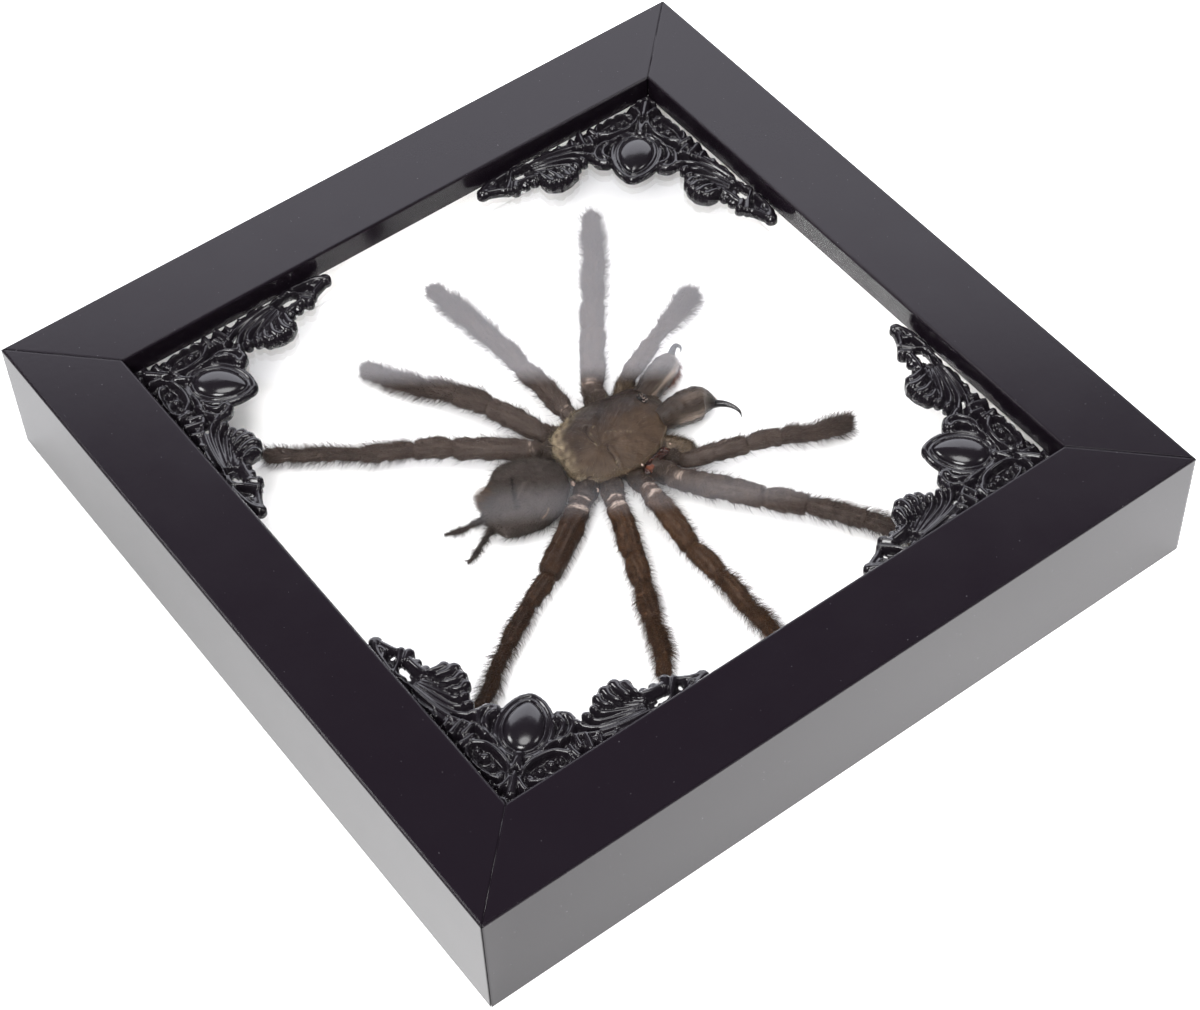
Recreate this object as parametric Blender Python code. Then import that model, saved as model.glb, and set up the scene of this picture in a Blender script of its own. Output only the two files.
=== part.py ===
"""Framed tarantula specimen in a shallow shadow box.

A square black wooden frame of four mitred rails holds a pane of glass. Under the glass, on a white
board, lies a dried tarantula with its legs spread. A cast openwork ornament is glued on the glass in
each corner. The origin is the middle of the frame's back, +Z points out through the glass and +Y is
the side that the spider's head points to.
"""
import math

import bmesh
import bpy
from mathutils import Matrix, Vector

MM = 0.001

# Frame, outside to inside
FRAME_SIDE = 203 * MM
FRAME_DEPTH = 34.5 * MM
RAIL_FACE = 21.7 * MM
RABBET = 6 * MM
LIP = 6.8 * MM
EDGE_CHAMFER = 0.4 * MM
GAP = 0.3 * MM

# Layers behind the lip, front to back
GLASS_THICKNESS = 2 * MM
MOUNT_BOARD_FACE = 13 * MM
BOARD_THICKNESS = 3 * MM
SPACER_THICKNESS = 3 * MM

# Hardware on the back board
TAB_SIZE = (8 * MM, 12 * MM, 0.5 * MM)
TAB_OFFSET = 45 * MM
HANGER_WIDTH = 44 * MM
HANGER_HEIGHT = 9 * MM
HANGER_THICKNESS = 1 * MM
HANGER_FROM_TOP = 38 * MM
HANGER_TEETH = 12
RIVET_RADIUS = 2.2 * MM
RIVET_HEIGHT = 0.8 * MM

# Corner ornament
ORNAMENT_THICKNESS = 2.6 * MM
CABOCHON_CENTRE = 16.5 * MM
CABOCHON_LENGTH = 13.5 * MM
CABOCHON_WIDTH = 9.5 * MM
CABOCHON_RISE = 1.6 * MM

# Spider: body lengths and the height of its middle above the board
PROSOMA_CENTRE = Vector((2.4, 6.2, 5.2)) * MM
PROSOMA_HALF = Vector((11.0, 14.2, 4.3)) * MM
ABDOMEN_CENTRE = Vector((3.4, -21.4, 5.6)) * MM
ABDOMEN_HALF = Vector((10.4, 12.2, 5.2)) * MM
COXA_HEIGHT = 4.6 * MM

HALF = FRAME_SIDE / 2
SIGHT_HALF = HALF - RAIL_FACE
RABBET_HALF = SIGHT_HALF + RABBET
GLASS_TOP = FRAME_DEPTH - LIP - GAP
GLASS_UNDER = GLASS_TOP - GLASS_THICKNESS
GLASS_HALF = RABBET_HALF - GAP
BACK_BOARD_FACE = MOUNT_BOARD_FACE - BOARD_THICKNESS - GAP
BACK_BOARD_UNDER = BACK_BOARD_FACE - BOARD_THICKNESS


# ---------------------------------------------------------------- tools

def clear_scene():
    """Remove every object that the file holds."""
    for old in list(bpy.data.objects):
        bpy.data.objects.remove(old, do_unlink=True)


def collection(name):
    """A new collection in the scene."""
    group = bpy.data.collections.new(name)
    bpy.context.scene.collection.children.link(group)
    return group


def material(name, colour, roughness, metallic=0.0):
    """A Principled material with a linear colour."""
    made = bpy.data.materials.new(name)
    made.use_nodes = True
    shader = made.node_tree.nodes["Principled BSDF"]
    shader.inputs["Base Color"].default_value = (*colour, 1.0)
    shader.inputs["Roughness"].default_value = roughness
    shader.inputs["Metallic"].default_value = metallic
    made.diffuse_color = (*colour, 1.0)
    return made


def place(name, data, finish, group):
    """An object in the collection, with its material in its first slot."""
    piece = bpy.data.objects.new(name, data)
    data.materials.clear()
    data.materials.append(finish)
    group.objects.link(piece)
    return piece


def mesh_from(bm, name):
    """A mesh data block from a bmesh."""
    mesh = bpy.data.meshes.new(name)
    bm.to_mesh(mesh)
    bm.free()
    return mesh


def box(name, low, high, finish, group):
    """A plain box between two corners."""
    low = Vector(low)
    high = Vector(high)
    bm = bmesh.new()
    size = Matrix.Diagonal((*(high - low), 1.0))
    bmesh.ops.create_cube(bm, size=1.0, matrix=Matrix.Translation((low + high) / 2) @ size)
    return place(name, mesh_from(bm, name), finish, group)


def curve_mesh(name, curve):
    """The closed mesh of a curve, with its caps welded on."""
    holder = bpy.data.objects.new(name + "_curve", curve)
    bpy.context.scene.collection.objects.link(holder)
    graph = bpy.context.evaluated_depsgraph_get()
    mesh = bpy.data.meshes.new_from_object(holder.evaluated_get(graph))
    bpy.data.objects.remove(holder, do_unlink=True)
    bm = bmesh.new()
    bm.from_mesh(mesh)
    bmesh.ops.remove_doubles(bm, verts=bm.verts, dist=0.000001)
    bmesh.ops.recalc_face_normals(bm, faces=bm.faces)
    bm.to_mesh(mesh)
    bm.free()
    mesh.name = name
    return mesh


def flat_outline(name, points, thickness, rounded=False):
    """A closed outline in X and Y, filled and extruded about Z = 0."""
    curve = bpy.data.curves.new(name, "CURVE")
    curve.dimensions = "2D"
    curve.fill_mode = "BOTH"
    curve.extrude = thickness / 2
    curve.resolution_u = 3
    spline = curve.splines.new("BEZIER")
    spline.bezier_points.add(len(points) - 1)
    handle = "AUTO" if rounded else "VECTOR"
    for knot, (x, y) in zip(spline.bezier_points, points):
        knot.co = (x, y, 0.0)
        knot.handle_left_type = handle
        knot.handle_right_type = handle
    if not rounded:
        curve.resolution_u = 1
    spline.use_cyclic_u = True
    return curve_mesh(name, curve)


def limb(name, points, radii, finish, group):
    """A round limb along points, with a radius at each and closed ends."""
    curve = bpy.data.curves.new(name, "CURVE")
    curve.dimensions = "3D"
    curve.bevel_depth = 1.0
    curve.bevel_resolution = 2
    curve.use_fill_caps = True
    spline = curve.splines.new("POLY")
    spline.points.add(len(points) - 1)
    for knot, point, radius in zip(spline.points, points, radii):
        knot.co = (*point, 1.0)
        knot.radius = radius
    mesh = curve_mesh(name, curve)
    mesh.shade_smooth()
    return place(name, mesh, finish, group)


def soft_body(name, centre, half, shape, finish, group):
    """A sphere scaled to three half sizes; shape(v) then moves each point of the unit sphere."""
    bm = bmesh.new()
    bmesh.ops.create_uvsphere(bm, u_segments=20, v_segments=12, radius=1.0)
    for vert in bm.verts:
        x, y, z = shape(vert.co)
        vert.co = centre + Vector((x * half.x, y * half.y, z * half.z))
    mesh = mesh_from(bm, name)
    mesh.shade_smooth()
    return place(name, mesh, finish, group)


def polar(length, heading):
    """A step in the board's plane; heading in degrees, 90 being +Y."""
    turn = math.radians(heading)
    return Vector((math.cos(turn) * length, math.sin(turn) * length, 0.0))


# ---------------------------------------------------------------- frame

def rail(name, turn, finish, group):
    """One mitred rail: an L section along the side, its ends slid back by the distance inwards."""
    wall = RAIL_FACE - RABBET
    under_lip = FRAME_DEPTH - LIP
    c = EDGE_CHAMFER
    section = [
        (c, 0.0),
        (wall, 0.0),
        (wall, under_lip),
        (RAIL_FACE, under_lip),
        (RAIL_FACE, FRAME_DEPTH - c),
        (RAIL_FACE - c, FRAME_DEPTH),
        (c, FRAME_DEPTH),
        (0.0, FRAME_DEPTH - c),
        (0.0, c),
    ]
    mesh = flat_outline(name, section, FRAME_SIDE)
    for vert in mesh.vertices:
        inwards, height, along = vert.co
        reach = HALF - inwards - GAP / 2
        vert.co = (math.copysign(reach, along), inwards - HALF, height)
    mesh.transform(Matrix.Rotation(math.radians(turn), 4, "Z"))
    bm = bmesh.new()
    bm.from_mesh(mesh)
    bmesh.ops.recalc_face_normals(bm, faces=bm.faces)
    bm.to_mesh(mesh)
    bm.free()
    return place(name, mesh, finish, group)


def layers(materials, group):
    """Glass, spacer strips and the two boards behind the lip."""
    g = GLASS_HALF
    box("glass_pane", (-g, -g, GLASS_UNDER), (g, g, GLASS_TOP), materials["glass"], group)
    low = MOUNT_BOARD_FACE + GAP
    high = GLASS_UNDER - GAP
    inner = g - SPACER_THICKNESS
    short = inner - GAP
    t = materials["mount"]
    box("spacer_top", (-g, inner, low), (g, g, high), t, group)
    box("spacer_bottom", (-g, -g, low), (g, -inner, high), t, group)
    box("spacer_left", (-g, -short, low), (-inner, short, high), t, group)
    box("spacer_right", (inner, -short, low), (g, short, high), t, group)
    low = MOUNT_BOARD_FACE - BOARD_THICKNESS
    box("mount_board", (-g, -g, low), (g, g, MOUNT_BOARD_FACE), t, group)
    back = materials["fibreboard"]
    box("back_board", (-g, -g, BACK_BOARD_UNDER), (g, g, BACK_BOARD_FACE), back, group)


def hardware(materials, group):
    """Retaining tabs along the rabbet, and a sawtooth hanger riveted to the back board."""
    steel = materials["zinc"]
    width, length, thickness = TAB_SIZE
    top = BACK_BOARD_UNDER - GAP
    edge = RABBET_HALF - GAP
    for side, turn in (("top", 0), ("left", 90), ("bottom", 180), ("right", 270)):
        for hand, offset in (("a", -TAB_OFFSET), ("b", TAB_OFFSET)):
            low = (offset - width / 2, edge - length, top - thickness)
            high = (offset + width / 2, edge, top)
            tab = box(f"tab_{side}_{hand}", low, high, steel, group)
            tab.data.transform(Matrix.Rotation(math.radians(turn), 4, "Z"))

    pitch = 0.6 * HANGER_WIDTH / HANGER_TEETH
    half = HANGER_WIDTH / 2
    bite = pitch / 2
    outline = [(-half, 0.0), (-half, HANGER_HEIGHT), (half, HANGER_HEIGHT), (half, 0.0)]
    x = 0.3 * HANGER_WIDTH
    for tooth in range(HANGER_TEETH):
        outline.append((x - tooth * pitch, 0.0))
        outline.append((x - (tooth + 0.5) * pitch, bite))
    outline.append((-x, 0.0))
    mesh = flat_outline("hanger_plate", outline, HANGER_THICKNESS)
    y = RABBET_HALF - HANGER_FROM_TOP
    plate_z = top - HANGER_THICKNESS / 2
    mesh.transform(Matrix.Translation((0.0, y, plate_z)))
    place("hanger_plate", mesh, steel, group)
    rivet_top = top - HANGER_THICKNESS - GAP
    for name, side in (("hanger_rivet_left", -1), ("hanger_rivet_right", 1)):
        bm = bmesh.new()
        middle = (side * (half - 4 * MM), y + HANGER_HEIGHT / 2, rivet_top - RIVET_HEIGHT / 2)
        bmesh.ops.create_cone(
            bm,
            cap_ends=True,
            segments=24,
            radius1=0.7 * RIVET_RADIUS,
            radius2=RIVET_RADIUS,
            depth=RIVET_HEIGHT,
            matrix=Matrix.Translation(middle),
        )
        place(name, mesh_from(bm, name), steel, group)


# ---------------------------------------------------------------- corner ornaments

# One arm's outline in millimetres: distance along the rail and inwards from the sight corner.
ARM_OUTER_SIDE = [
    (6, 0.8), (13, 1.4), (19, 0.7), (28, 0.9), (40, 0.7), (50, 0.8), (55, 1.2), (57, 3.0),
]
ARM_INNER_SIDE = [
    (55.2, 4.7), (51.3, 6.4), (48.5, 8.4), (42.5, 7.6), (41.3, 11.4), (38.5, 14.0), (34.6, 13.9),
    (31.6, 11.2), (28, 10.9), (25.4, 12.6), (23, 15.2), (23.7, 20.5),
]


def ornament(name, turn, finish, group, cutters):
    """An L of cast scrollwork, mirrored over the corner's diagonal, with a raised egg-shaped stone."""
    arm = ARM_OUTER_SIDE + ARM_INNER_SIDE
    mirrored = [(b, a) for a, b in reversed(arm)]
    outline = [(0.9, 0.9)] + arm + mirrored
    points = [(x * MM, y * MM) for x, y in outline]
    mesh = flat_outline(name, points, ORNAMENT_THICKNESS, rounded=True)
    z = GLASS_TOP + GAP + ORNAMENT_THICKNESS / 2
    corner = Matrix.Translation((-SIGHT_HALF, -SIGHT_HALF, z))
    spin = Matrix.Rotation(math.radians(turn), 4, "Z")
    mesh.transform(spin @ corner)
    piece = place(name, mesh, finish, group)

    bm = bmesh.new()
    size = (CABOCHON_LENGTH / 2, CABOCHON_WIDTH / 2, ORNAMENT_THICKNESS / 2 + CABOCHON_RISE, 1.0)
    seat = Matrix.Translation((CABOCHON_CENTRE, CABOCHON_CENTRE, 0.0))
    along = Matrix.Rotation(math.radians(45), 4, "Z") @ Matrix.Diagonal(size)
    bmesh.ops.create_uvsphere(bm, u_segments=24, v_segments=12, radius=1.0, matrix=along)
    lowest = -ORNAMENT_THICKNESS / 2
    for vert in bm.verts:
        vert.co.z = max(vert.co.z, 0.5 * lowest)
    bmesh.ops.transform(bm, matrix=spin @ corner @ seat, verts=bm.verts)
    stone = place(name + "_stone_cutter", mesh_from(bm, name + "_stone"), finish, cutters)
    stone.hide_render = True
    stone.display_type = "WIRE"
    union = piece.modifiers.new("stone", "BOOLEAN")
    union.operation = "UNION"
    union.object = stone


# ---------------------------------------------------------------- spider

# Each limb: where it leaves the body (degrees around the prosoma), the end of its trochanter in the
# board's plane, and its segments beyond that as (length, heading, height of the far joint, radius).
# Millimetres and degrees, heights above the board.
LIMBS = {
    "palp_left": (140, (-10.8, 20.5), [
        (12.5, 114, 5.6, 2.2), (5.5, 113, 5.2, 1.7), (7.0, 114, 4.4, 2.2), (9.5, 112, 3.2, 2.6)]),
    "leg_1_left": (163, (-14.2, 12.0), [
        (17.5, 142, 5.4, 3.1), (10.0, 145, 5.0, 2.8), (15.5, 141, 4.0, 2.6), (11.5, 147, 3.0, 2.4),
        (6.5, 143, 2.6, 2.3)]),
    "leg_2_left": (196, (-11.7, 2.3), [
        (17.0, 180, 5.2, 2.6), (11.0, 180, 4.8, 2.3), (10.0, 183, 4.0, 2.3), (11.0, 183, 3.0, 2.4),
        (7.0, 186, 2.6, 2.1)]),
    "leg_3_left": (225, (-10.3, -6.5), [
        (14.5, 201, 5.2, 2.8), (9.5, 203, 4.8, 2.7), (8.0, 215, 4.0, 2.5), (12.0, 208, 3.0, 2.3),
        (6.5, 207, 2.6, 2.3)]),
    "leg_4_left": (243, (-6.9, -11.5), [
        (18.5, 232, 5.4, 2.8), (9.5, 231, 5.0, 2.5), (13.0, 237, 4.0, 2.2), (17.5, 229, 3.0, 1.7),
        (7.0, 232, 2.6, 2.0)]),
    "palp_right": (38, (17.7, 18.0), [
        (14.0, 65, 5.6, 2.4), (8.5, 69, 5.2, 2.2), (9.0, 63, 4.4, 2.2), (10.0, 81, 3.2, 2.4)]),
    "leg_1_right": (17, (20.7, 12.6), [
        (21.0, 31, 5.6, 3.0), (10.5, 41, 5.0, 2.7), (14.5, 37, 4.0, 2.4), (11.0, 33, 3.0, 2.2),
        (6.5, 37, 2.6, 2.2)]),
    "leg_2_right": (-12, (21.4, 3.5), [
        (19.3, -8, 5.2, 2.6), (9.8, 1, 4.8, 2.4), (12.0, -1, 4.0, 2.1), (10.0, 3, 3.0, 1.9),
        (6.0, 2, 2.6, 2.0)]),
    "leg_3_right": (-38, (19.2, -5.4), [
        (16.0, -22, 5.2, 2.7), (8.5, -23, 4.8, 2.4), (10.0, -25, 4.0, 2.2), (10.0, -22, 3.0, 1.9),
        (6.0, -38, 2.6, 1.8)]),
    "leg_4_right": (-63, (14.5, -12.6), [
        (21.5, -56, 5.2, 2.9), (9.0, -66, 4.4, 2.1), (12.0, -61, 3.6, 1.9), (15.5, -56, 2.8, 1.6),
        (6.5, -54, 2.5, 1.8)]),
}


def limb_path(root_angle, trochanter, segments):
    """Points and radii down a limb: full in mid segment, narrower at each joint."""
    board = Vector((0.0, 0.0, MOUNT_BOARD_FACE))
    turn = math.radians(root_angle)
    reach = 1.0 + 1.2 * MM / PROSOMA_HALF.x
    edge = Vector((math.cos(turn) * PROSOMA_HALF.x, math.sin(turn) * PROSOMA_HALF.y, 0.0)) * reach
    hip = Vector((PROSOMA_CENTRE.x, PROSOMA_CENTRE.y, COXA_HEIGHT)) + edge
    knee = Vector((trochanter[0] * MM, trochanter[1] * MM, COXA_HEIGHT))
    first = 0.72 * segments[0][3] * MM
    points = [hip, knee]
    radii = [0.85 * first, first]
    for length, heading, height, radius in segments:
        start = points[-1]
        end = start + polar(length * MM, heading)
        end.z = height * MM
        points.extend([start.lerp(end, 0.35), end])
        radii.extend([radius * MM, 0.82 * radius * MM])
    return [board + point for point in points], radii


def egg(point):
    """Unit sphere made a carapace: narrower at the head, flatter below."""
    taper = 1.0 - 0.22 * max(point.y, 0.0) ** 2
    lift = 0.8 if point.z < 0.0 else 1.0
    return point.x * taper, point.y, point.z * lift


def bag(point):
    """Unit sphere made an abdomen: fuller towards the rear third."""
    swell = 1.0 - 0.1 * point.y
    return point.x * swell, point.y, point.z


def spider(materials, group):
    """Body, mouthparts and limbs, each lying on the mount board."""
    board = Vector((0.0, 0.0, MOUNT_BOARD_FACE))
    skin = materials["cuticle"]
    soft_body("prosoma", board + PROSOMA_CENTRE, PROSOMA_HALF, egg, skin, group)
    soft_body("abdomen", board + ABDOMEN_CENTRE, ABDOMEN_HALF, bag, skin, group)

    jaws = {
        "left": ((-3.6, 22.4), (-8.8, 33.0), 3.3, [(-10.6, 34.8), (-12.6, 36.6), (-10.4, 36.0)]),
        "right": ((4.8, 21.8), (4.6, 31.6), 4.0, [(8.6, 34.0), (11.0, 36.6), (15.0, 36.0)]),
    }
    for side, (base, front, radius, fang) in jaws.items():
        a = board + Vector((base[0], base[1], 5.0)) * MM
        b = board + Vector((front[0], front[1], 4.9)) * MM
        path = [a, a.lerp(b, 0.35), a.lerp(b, 0.75), b]
        radii = [0.55 * radius * MM, 0.95 * radius * MM, radius * MM, 0.55 * radius * MM]
        limb(f"chelicera_{side}", path, radii, skin, group)
        claw = [board + Vector((x, y, 4.6)) * MM for x, y in fang]
        limb(f"fang_{side}", claw, [0.8 * MM, 0.6 * MM, 0.15 * MM], materials["fang"], group)

    tails = {"left": [(2.8, -34.4), (3.0, -38.8), (0.0, -41.6)],
             "right": [(6.0, -34.4), (9.4, -38.2), (10.3, -42.0)]}
    for side, route in tails.items():
        path = [board + Vector((x, y, 3.0)) * MM for x, y in route]
        limb(f"spinneret_{side}", path, [0.9 * MM, 0.75 * MM, 0.45 * MM], skin, group)

    for name, (angle, trochanter, segments) in LIMBS.items():
        points, radii = limb_path(angle, trochanter, segments)
        limb(name, points, radii, skin, group)


def build():
    """Make every piece of the specimen."""
    clear_scene()
    group = collection("framed_tarantula_specimen")
    cutters = collection("cutters")
    materials = {
        "lacquer": material("black_lacquered_wood", (0.020, 0.018, 0.023), 0.35),
        "glass": material("picture_glass", (0.90, 0.93, 0.92), 0.02),
        "mount": material("white_mount_board", (0.86, 0.86, 0.85), 0.85),
        "fibreboard": material("brown_fibreboard", (0.23, 0.14, 0.08), 0.8),
        "zinc": material("zinc_plated_steel", (0.55, 0.55, 0.53), 0.35, 1.0),
        "resin": material("gloss_black_resin", (0.012, 0.012, 0.013), 0.15),
        "cuticle": material("dried_spider_cuticle", (0.055, 0.040, 0.032), 0.6),
        "fang": material("black_fang", (0.010, 0.008, 0.008), 0.15),
    }
    for name, turn in (("bottom", 0), ("right", 90), ("top", 180), ("left", 270)):
        rail(f"frame_rail_{name}", turn, materials["lacquer"], group)
    layers(materials, group)
    hardware(materials, group)
    corners = (("bottom_left", 0), ("bottom_right", 90), ("top_right", 180), ("top_left", 270))
    for name, turn in corners:
        ornament(f"corner_ornament_{name}", turn, materials["resin"], group, cutters)
    spider(materials, group)


build()
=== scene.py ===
import math

import bpy
import numpy as np
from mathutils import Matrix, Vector


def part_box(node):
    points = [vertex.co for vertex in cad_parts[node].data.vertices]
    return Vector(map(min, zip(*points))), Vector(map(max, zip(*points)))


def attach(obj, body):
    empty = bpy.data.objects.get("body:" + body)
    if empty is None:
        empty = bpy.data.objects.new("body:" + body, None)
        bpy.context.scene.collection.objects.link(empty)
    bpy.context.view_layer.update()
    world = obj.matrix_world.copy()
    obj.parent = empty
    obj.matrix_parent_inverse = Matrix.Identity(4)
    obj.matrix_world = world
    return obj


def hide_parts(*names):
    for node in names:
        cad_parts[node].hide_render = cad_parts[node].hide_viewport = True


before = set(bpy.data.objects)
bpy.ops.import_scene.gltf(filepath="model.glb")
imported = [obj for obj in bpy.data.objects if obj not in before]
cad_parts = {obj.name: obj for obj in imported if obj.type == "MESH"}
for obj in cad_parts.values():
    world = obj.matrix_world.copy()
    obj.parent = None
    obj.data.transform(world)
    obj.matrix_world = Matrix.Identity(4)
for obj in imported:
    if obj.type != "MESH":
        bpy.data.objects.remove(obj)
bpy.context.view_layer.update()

MM = 0.001
# Sine waves in a ripple
WAVES = 9

# Camera: where it stands (m), how it is turned (degrees) and its lens (mm on a 36 mm sensor)
CAMERA_PLACE = (0.3587, -0.2440, 0.5384)
CAMERA_TURN = (38.58, 1.71, 53.29)
CAMERA_LENS = 84.0

# Soft round lamps: name, place (m), width (m), power (W)
LAMPS = (
    ("lamp_overhead", (0.10, -0.05, 1.6), 0.8, 11),
    ("lamp_by_camera", (0.75, -1.0, 1.45), 0.75, 22),
    ("lamp_left", (-1.0, -1.1, 1.4), 0.65, 14),
    ("lamp_right", (1.0, 1.0, 1.3), 0.55, 5),
)

# Heights that the CAD model gives
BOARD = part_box("mount_board")[1][2]
GLASS_UNDER, GLASS_TOP = (corner[2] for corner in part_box("glass_pane"))
GLASS_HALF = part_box("glass_pane")[1][0]
# How far the rails' lip covers the glass
LIP = 5.7 * MM
# The faces of a shell that has only triangles, or only quads
NO_QUADS, NO_TRIS = np.zeros((0, 4), int), np.zeros((0, 3), int)


# ---------------------------------------------------------------- numbers

def linear(code):
    """An sRGB hex colour as linear RGBA."""
    parts = [int(code[i:i + 2], 16) / 255 for i in (1, 3, 5)]
    return tuple(c / 12.92 if c <= 0.04045 else ((c + 0.055) / 1.055) ** 2.4 for c in parts) + (1.0,)


def smooth(low, high, x):
    """0 below low, 1 above high and an S curve between."""
    t = np.clip((x - low) / (high - low), 0.0, 1.0)
    return t * t * (3.0 - 2.0 * t)


def bump(x, centre, width):
    """A bell of height 1 about centre."""
    return np.exp(-((x - centre) / width) ** 2)


def mound(x, y, centre, half):
    """A bell of height 1 about a place, with its own width each way."""
    return np.exp(-((x - centre[0]) / half[0]) ** 2 - ((y - centre[1]) / half[1]) ** 2)


def from_heading(turns, degrees):
    """Angles measured from a heading, in -pi to pi."""
    return np.angle(np.exp(1j * (turns - math.radians(degrees))))


def ripple(points, wavelength, seed):
    """Smooth noise in about -1 to 1: a sum of sine waves in random directions."""
    rng = np.random.default_rng(seed)
    heading = rng.normal(size=(WAVES, 3))
    heading /= np.linalg.norm(heading, axis=1, keepdims=True)
    scale = 2 * np.pi / (wavelength * rng.uniform(0.7, 1.5, WAVES))
    phase = rng.uniform(0, 2 * np.pi, WAVES)
    return np.sin(points @ (heading.T * scale) + phase).sum(-1) / np.sqrt(WAVES)


def unit(vectors):
    """Vectors brought to length 1."""
    return vectors / np.maximum(np.linalg.norm(vectors, axis=-1, keepdims=True), 1e-12)


# ---------------------------------------------------------------- meshes

def tube(rings):
    """Rings (n, m, 3) joined by quads, with a fan to the middle of each end ring. Outward faces."""
    n, m, _ = rings.shape
    verts = np.concatenate([rings.reshape(-1, 3), rings[0].mean(0)[None], rings[-1].mean(0)[None]])
    i = np.arange(n - 1)[:, None] * m
    j = np.arange(m)[None, :]
    k = (j + 1) % m
    quads = np.stack([i + j, i + k, i + m + k, i + m + j], -1).reshape(-1, 4)
    first, last = n * m, n * m + 1
    j, k = j[0], k[0]
    low = np.stack([np.full(m, first), k, j], -1)
    high = np.stack([np.full(m, last), (n - 1) * m + j, (n - 1) * m + k], -1)
    tris = np.concatenate([low, high])
    a, b, c = (verts[quads[:, q]] for q in (0, 1, 2))
    if np.einsum("ij,ij->i", a, np.cross(b, c)).sum() < 0:
        quads, tris = quads[:, ::-1], tris[:, ::-1]
    return verts, quads, tris


def with_ends(values, first=0.0, last=0.0):
    """Marks on rings (n, m) or (n, m, 3) as a list, with those of the tube's two end points added."""
    flat = values.reshape(-1, *values.shape[2:])
    return np.concatenate([flat, np.full_like(flat[:1], first), np.full_like(flat[:1], last)])


def joined(shells):
    """Several (verts, quads, tris) as one."""
    verts, quads, tris, start = [], [], [], 0
    for v, q, t in shells:
        verts.append(v)
        quads.append(q + start)
        tris.append(t + start)
        start += len(v)
    return np.concatenate(verts), np.concatenate(quads), np.concatenate(tris)


def piece(name, shell, material, replaces=(), marks=None):
    """A mesh object from (verts, quads, tris), riding on the root; marks are float point attributes."""
    verts, quads, tris = shell
    mesh = bpy.data.meshes.new(name)
    mesh.vertices.add(len(verts))
    mesh.vertices.foreach_set("co", np.asarray(verts, np.float32).ravel())
    loops = np.concatenate([quads.ravel(), tris.ravel()]).astype(np.int32)
    sizes = np.concatenate([np.full(len(quads), 4), np.full(len(tris), 3)]).astype(np.int32)
    mesh.loops.add(len(loops))
    mesh.loops.foreach_set("vertex_index", loops)
    mesh.polygons.add(len(sizes))
    mesh.polygons.foreach_set("loop_start", (np.cumsum(sizes) - sizes).astype(np.int32))
    mesh.update(calc_edges=True)
    mesh.validate()
    mesh.shade_smooth()
    for key, values in (marks or {}).items():
        values = np.asarray(values, np.float32)
        kind, field = ("FLOAT", "value") if values.ndim == 1 else ("FLOAT_VECTOR", "vector")
        mesh.attributes.new(key, kind, "POINT").data.foreach_set(field, values.ravel())
    made = bpy.data.objects.new(name, mesh)
    bpy.context.scene.collection.objects.link(made)
    mesh.materials.append(material)
    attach(made, "root")
    if replaces:
        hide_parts(*replaces)


# ---------------------------------------------------------------- materials

# Kinds of node that come up often
NOISE, RANGE, MIX = "ShaderNodeTexNoise", "ShaderNodeMapRange", "ShaderNodeMix"
BUMP, MARK = "ShaderNodeBump", "ShaderNodeAttribute"


def add(tree, kind, inputs=None, out=0, **settings):
    """A node with its settings and inputs, each a value, a hex colour or another node's socket.
    Returns its output."""
    made = tree.nodes.new(kind)
    for key, value in settings.items():
        setattr(made, key, value)
    for key, value in (inputs or {}).items():
        if isinstance(value, bpy.types.NodeSocket):
            tree.links.new(value, made.inputs[key])
        else:
            made.inputs[key].default_value = linear(value) if isinstance(value, str) else value
    return made.outputs[out]


def finish(name, colour, roughness, **sockets):
    """A Principled material; returns it, its tree, its shader and the Object coordinates."""
    material = bpy.data.materials.new(name)
    material.use_nodes = True
    tree = material.node_tree
    shader = tree.nodes["Principled BSDF"]
    shader.inputs["Base Color"].default_value = linear(colour)
    shader.inputs["Roughness"].default_value = roughness
    for key, value in sockets.items():
        shader.inputs[key.replace("_", " ")].default_value = value
    return material, tree, shader, add(tree, "ShaderNodeTexCoord", out="Object")


def wire(source, shader, key="Base Color"):
    """Link a socket to one of the shader's inputs."""
    shader.id_data.links.new(source, shader.inputs[key])


def lacquered_wood():
    """Satin black lacquer, sprayed on wood moulding: near black, a soft sheen and faint orange peel."""
    material, tree, shader, where = finish("satin_black_lacquer", "#1c161d", 0.17, IOR=1.5,
                                           Specular_IOR_Level=0.27)
    peel = add(tree, NOISE, {"Vector": where, "Scale": 1 / (1.1 * MM), "Detail": 2, "Roughness": 0.55})
    worn_edge = add(tree, "ShaderNodeBevel", {"Radius": 0.6 * MM}, samples=4)
    bumps = {"Height": peel, "Normal": worn_edge, "Distance": 0.02 * MM, "Strength": 0.35}
    wire(add(tree, BUMP, bumps), shader, "Normal")
    wear = add(tree, NOISE, {"Vector": where, "Scale": 1 / (14 * MM), "Detail": 4, "Roughness": 0.55})
    sheen = {"Value": wear, "From Min": 0.35, "From Max": 0.7, "To Min": 0.155, "To Max": 0.185}
    wire(add(tree, RANGE, sheen), shader, "Roughness")
    dust = add(tree, NOISE, {"Vector": where, "Scale": 1 / (0.55 * MM), "Detail": 0, "Roughness": 0.55})
    speck = add(tree, RANGE, {"Value": dust, "From Min": 0.86, "From Max": 0.89})
    wire(add(tree, MIX, {0: speck, 6: "#1c161d", 7: "#5a575c"}, 2, data_type="RGBA"), shader)
    return material


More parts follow.
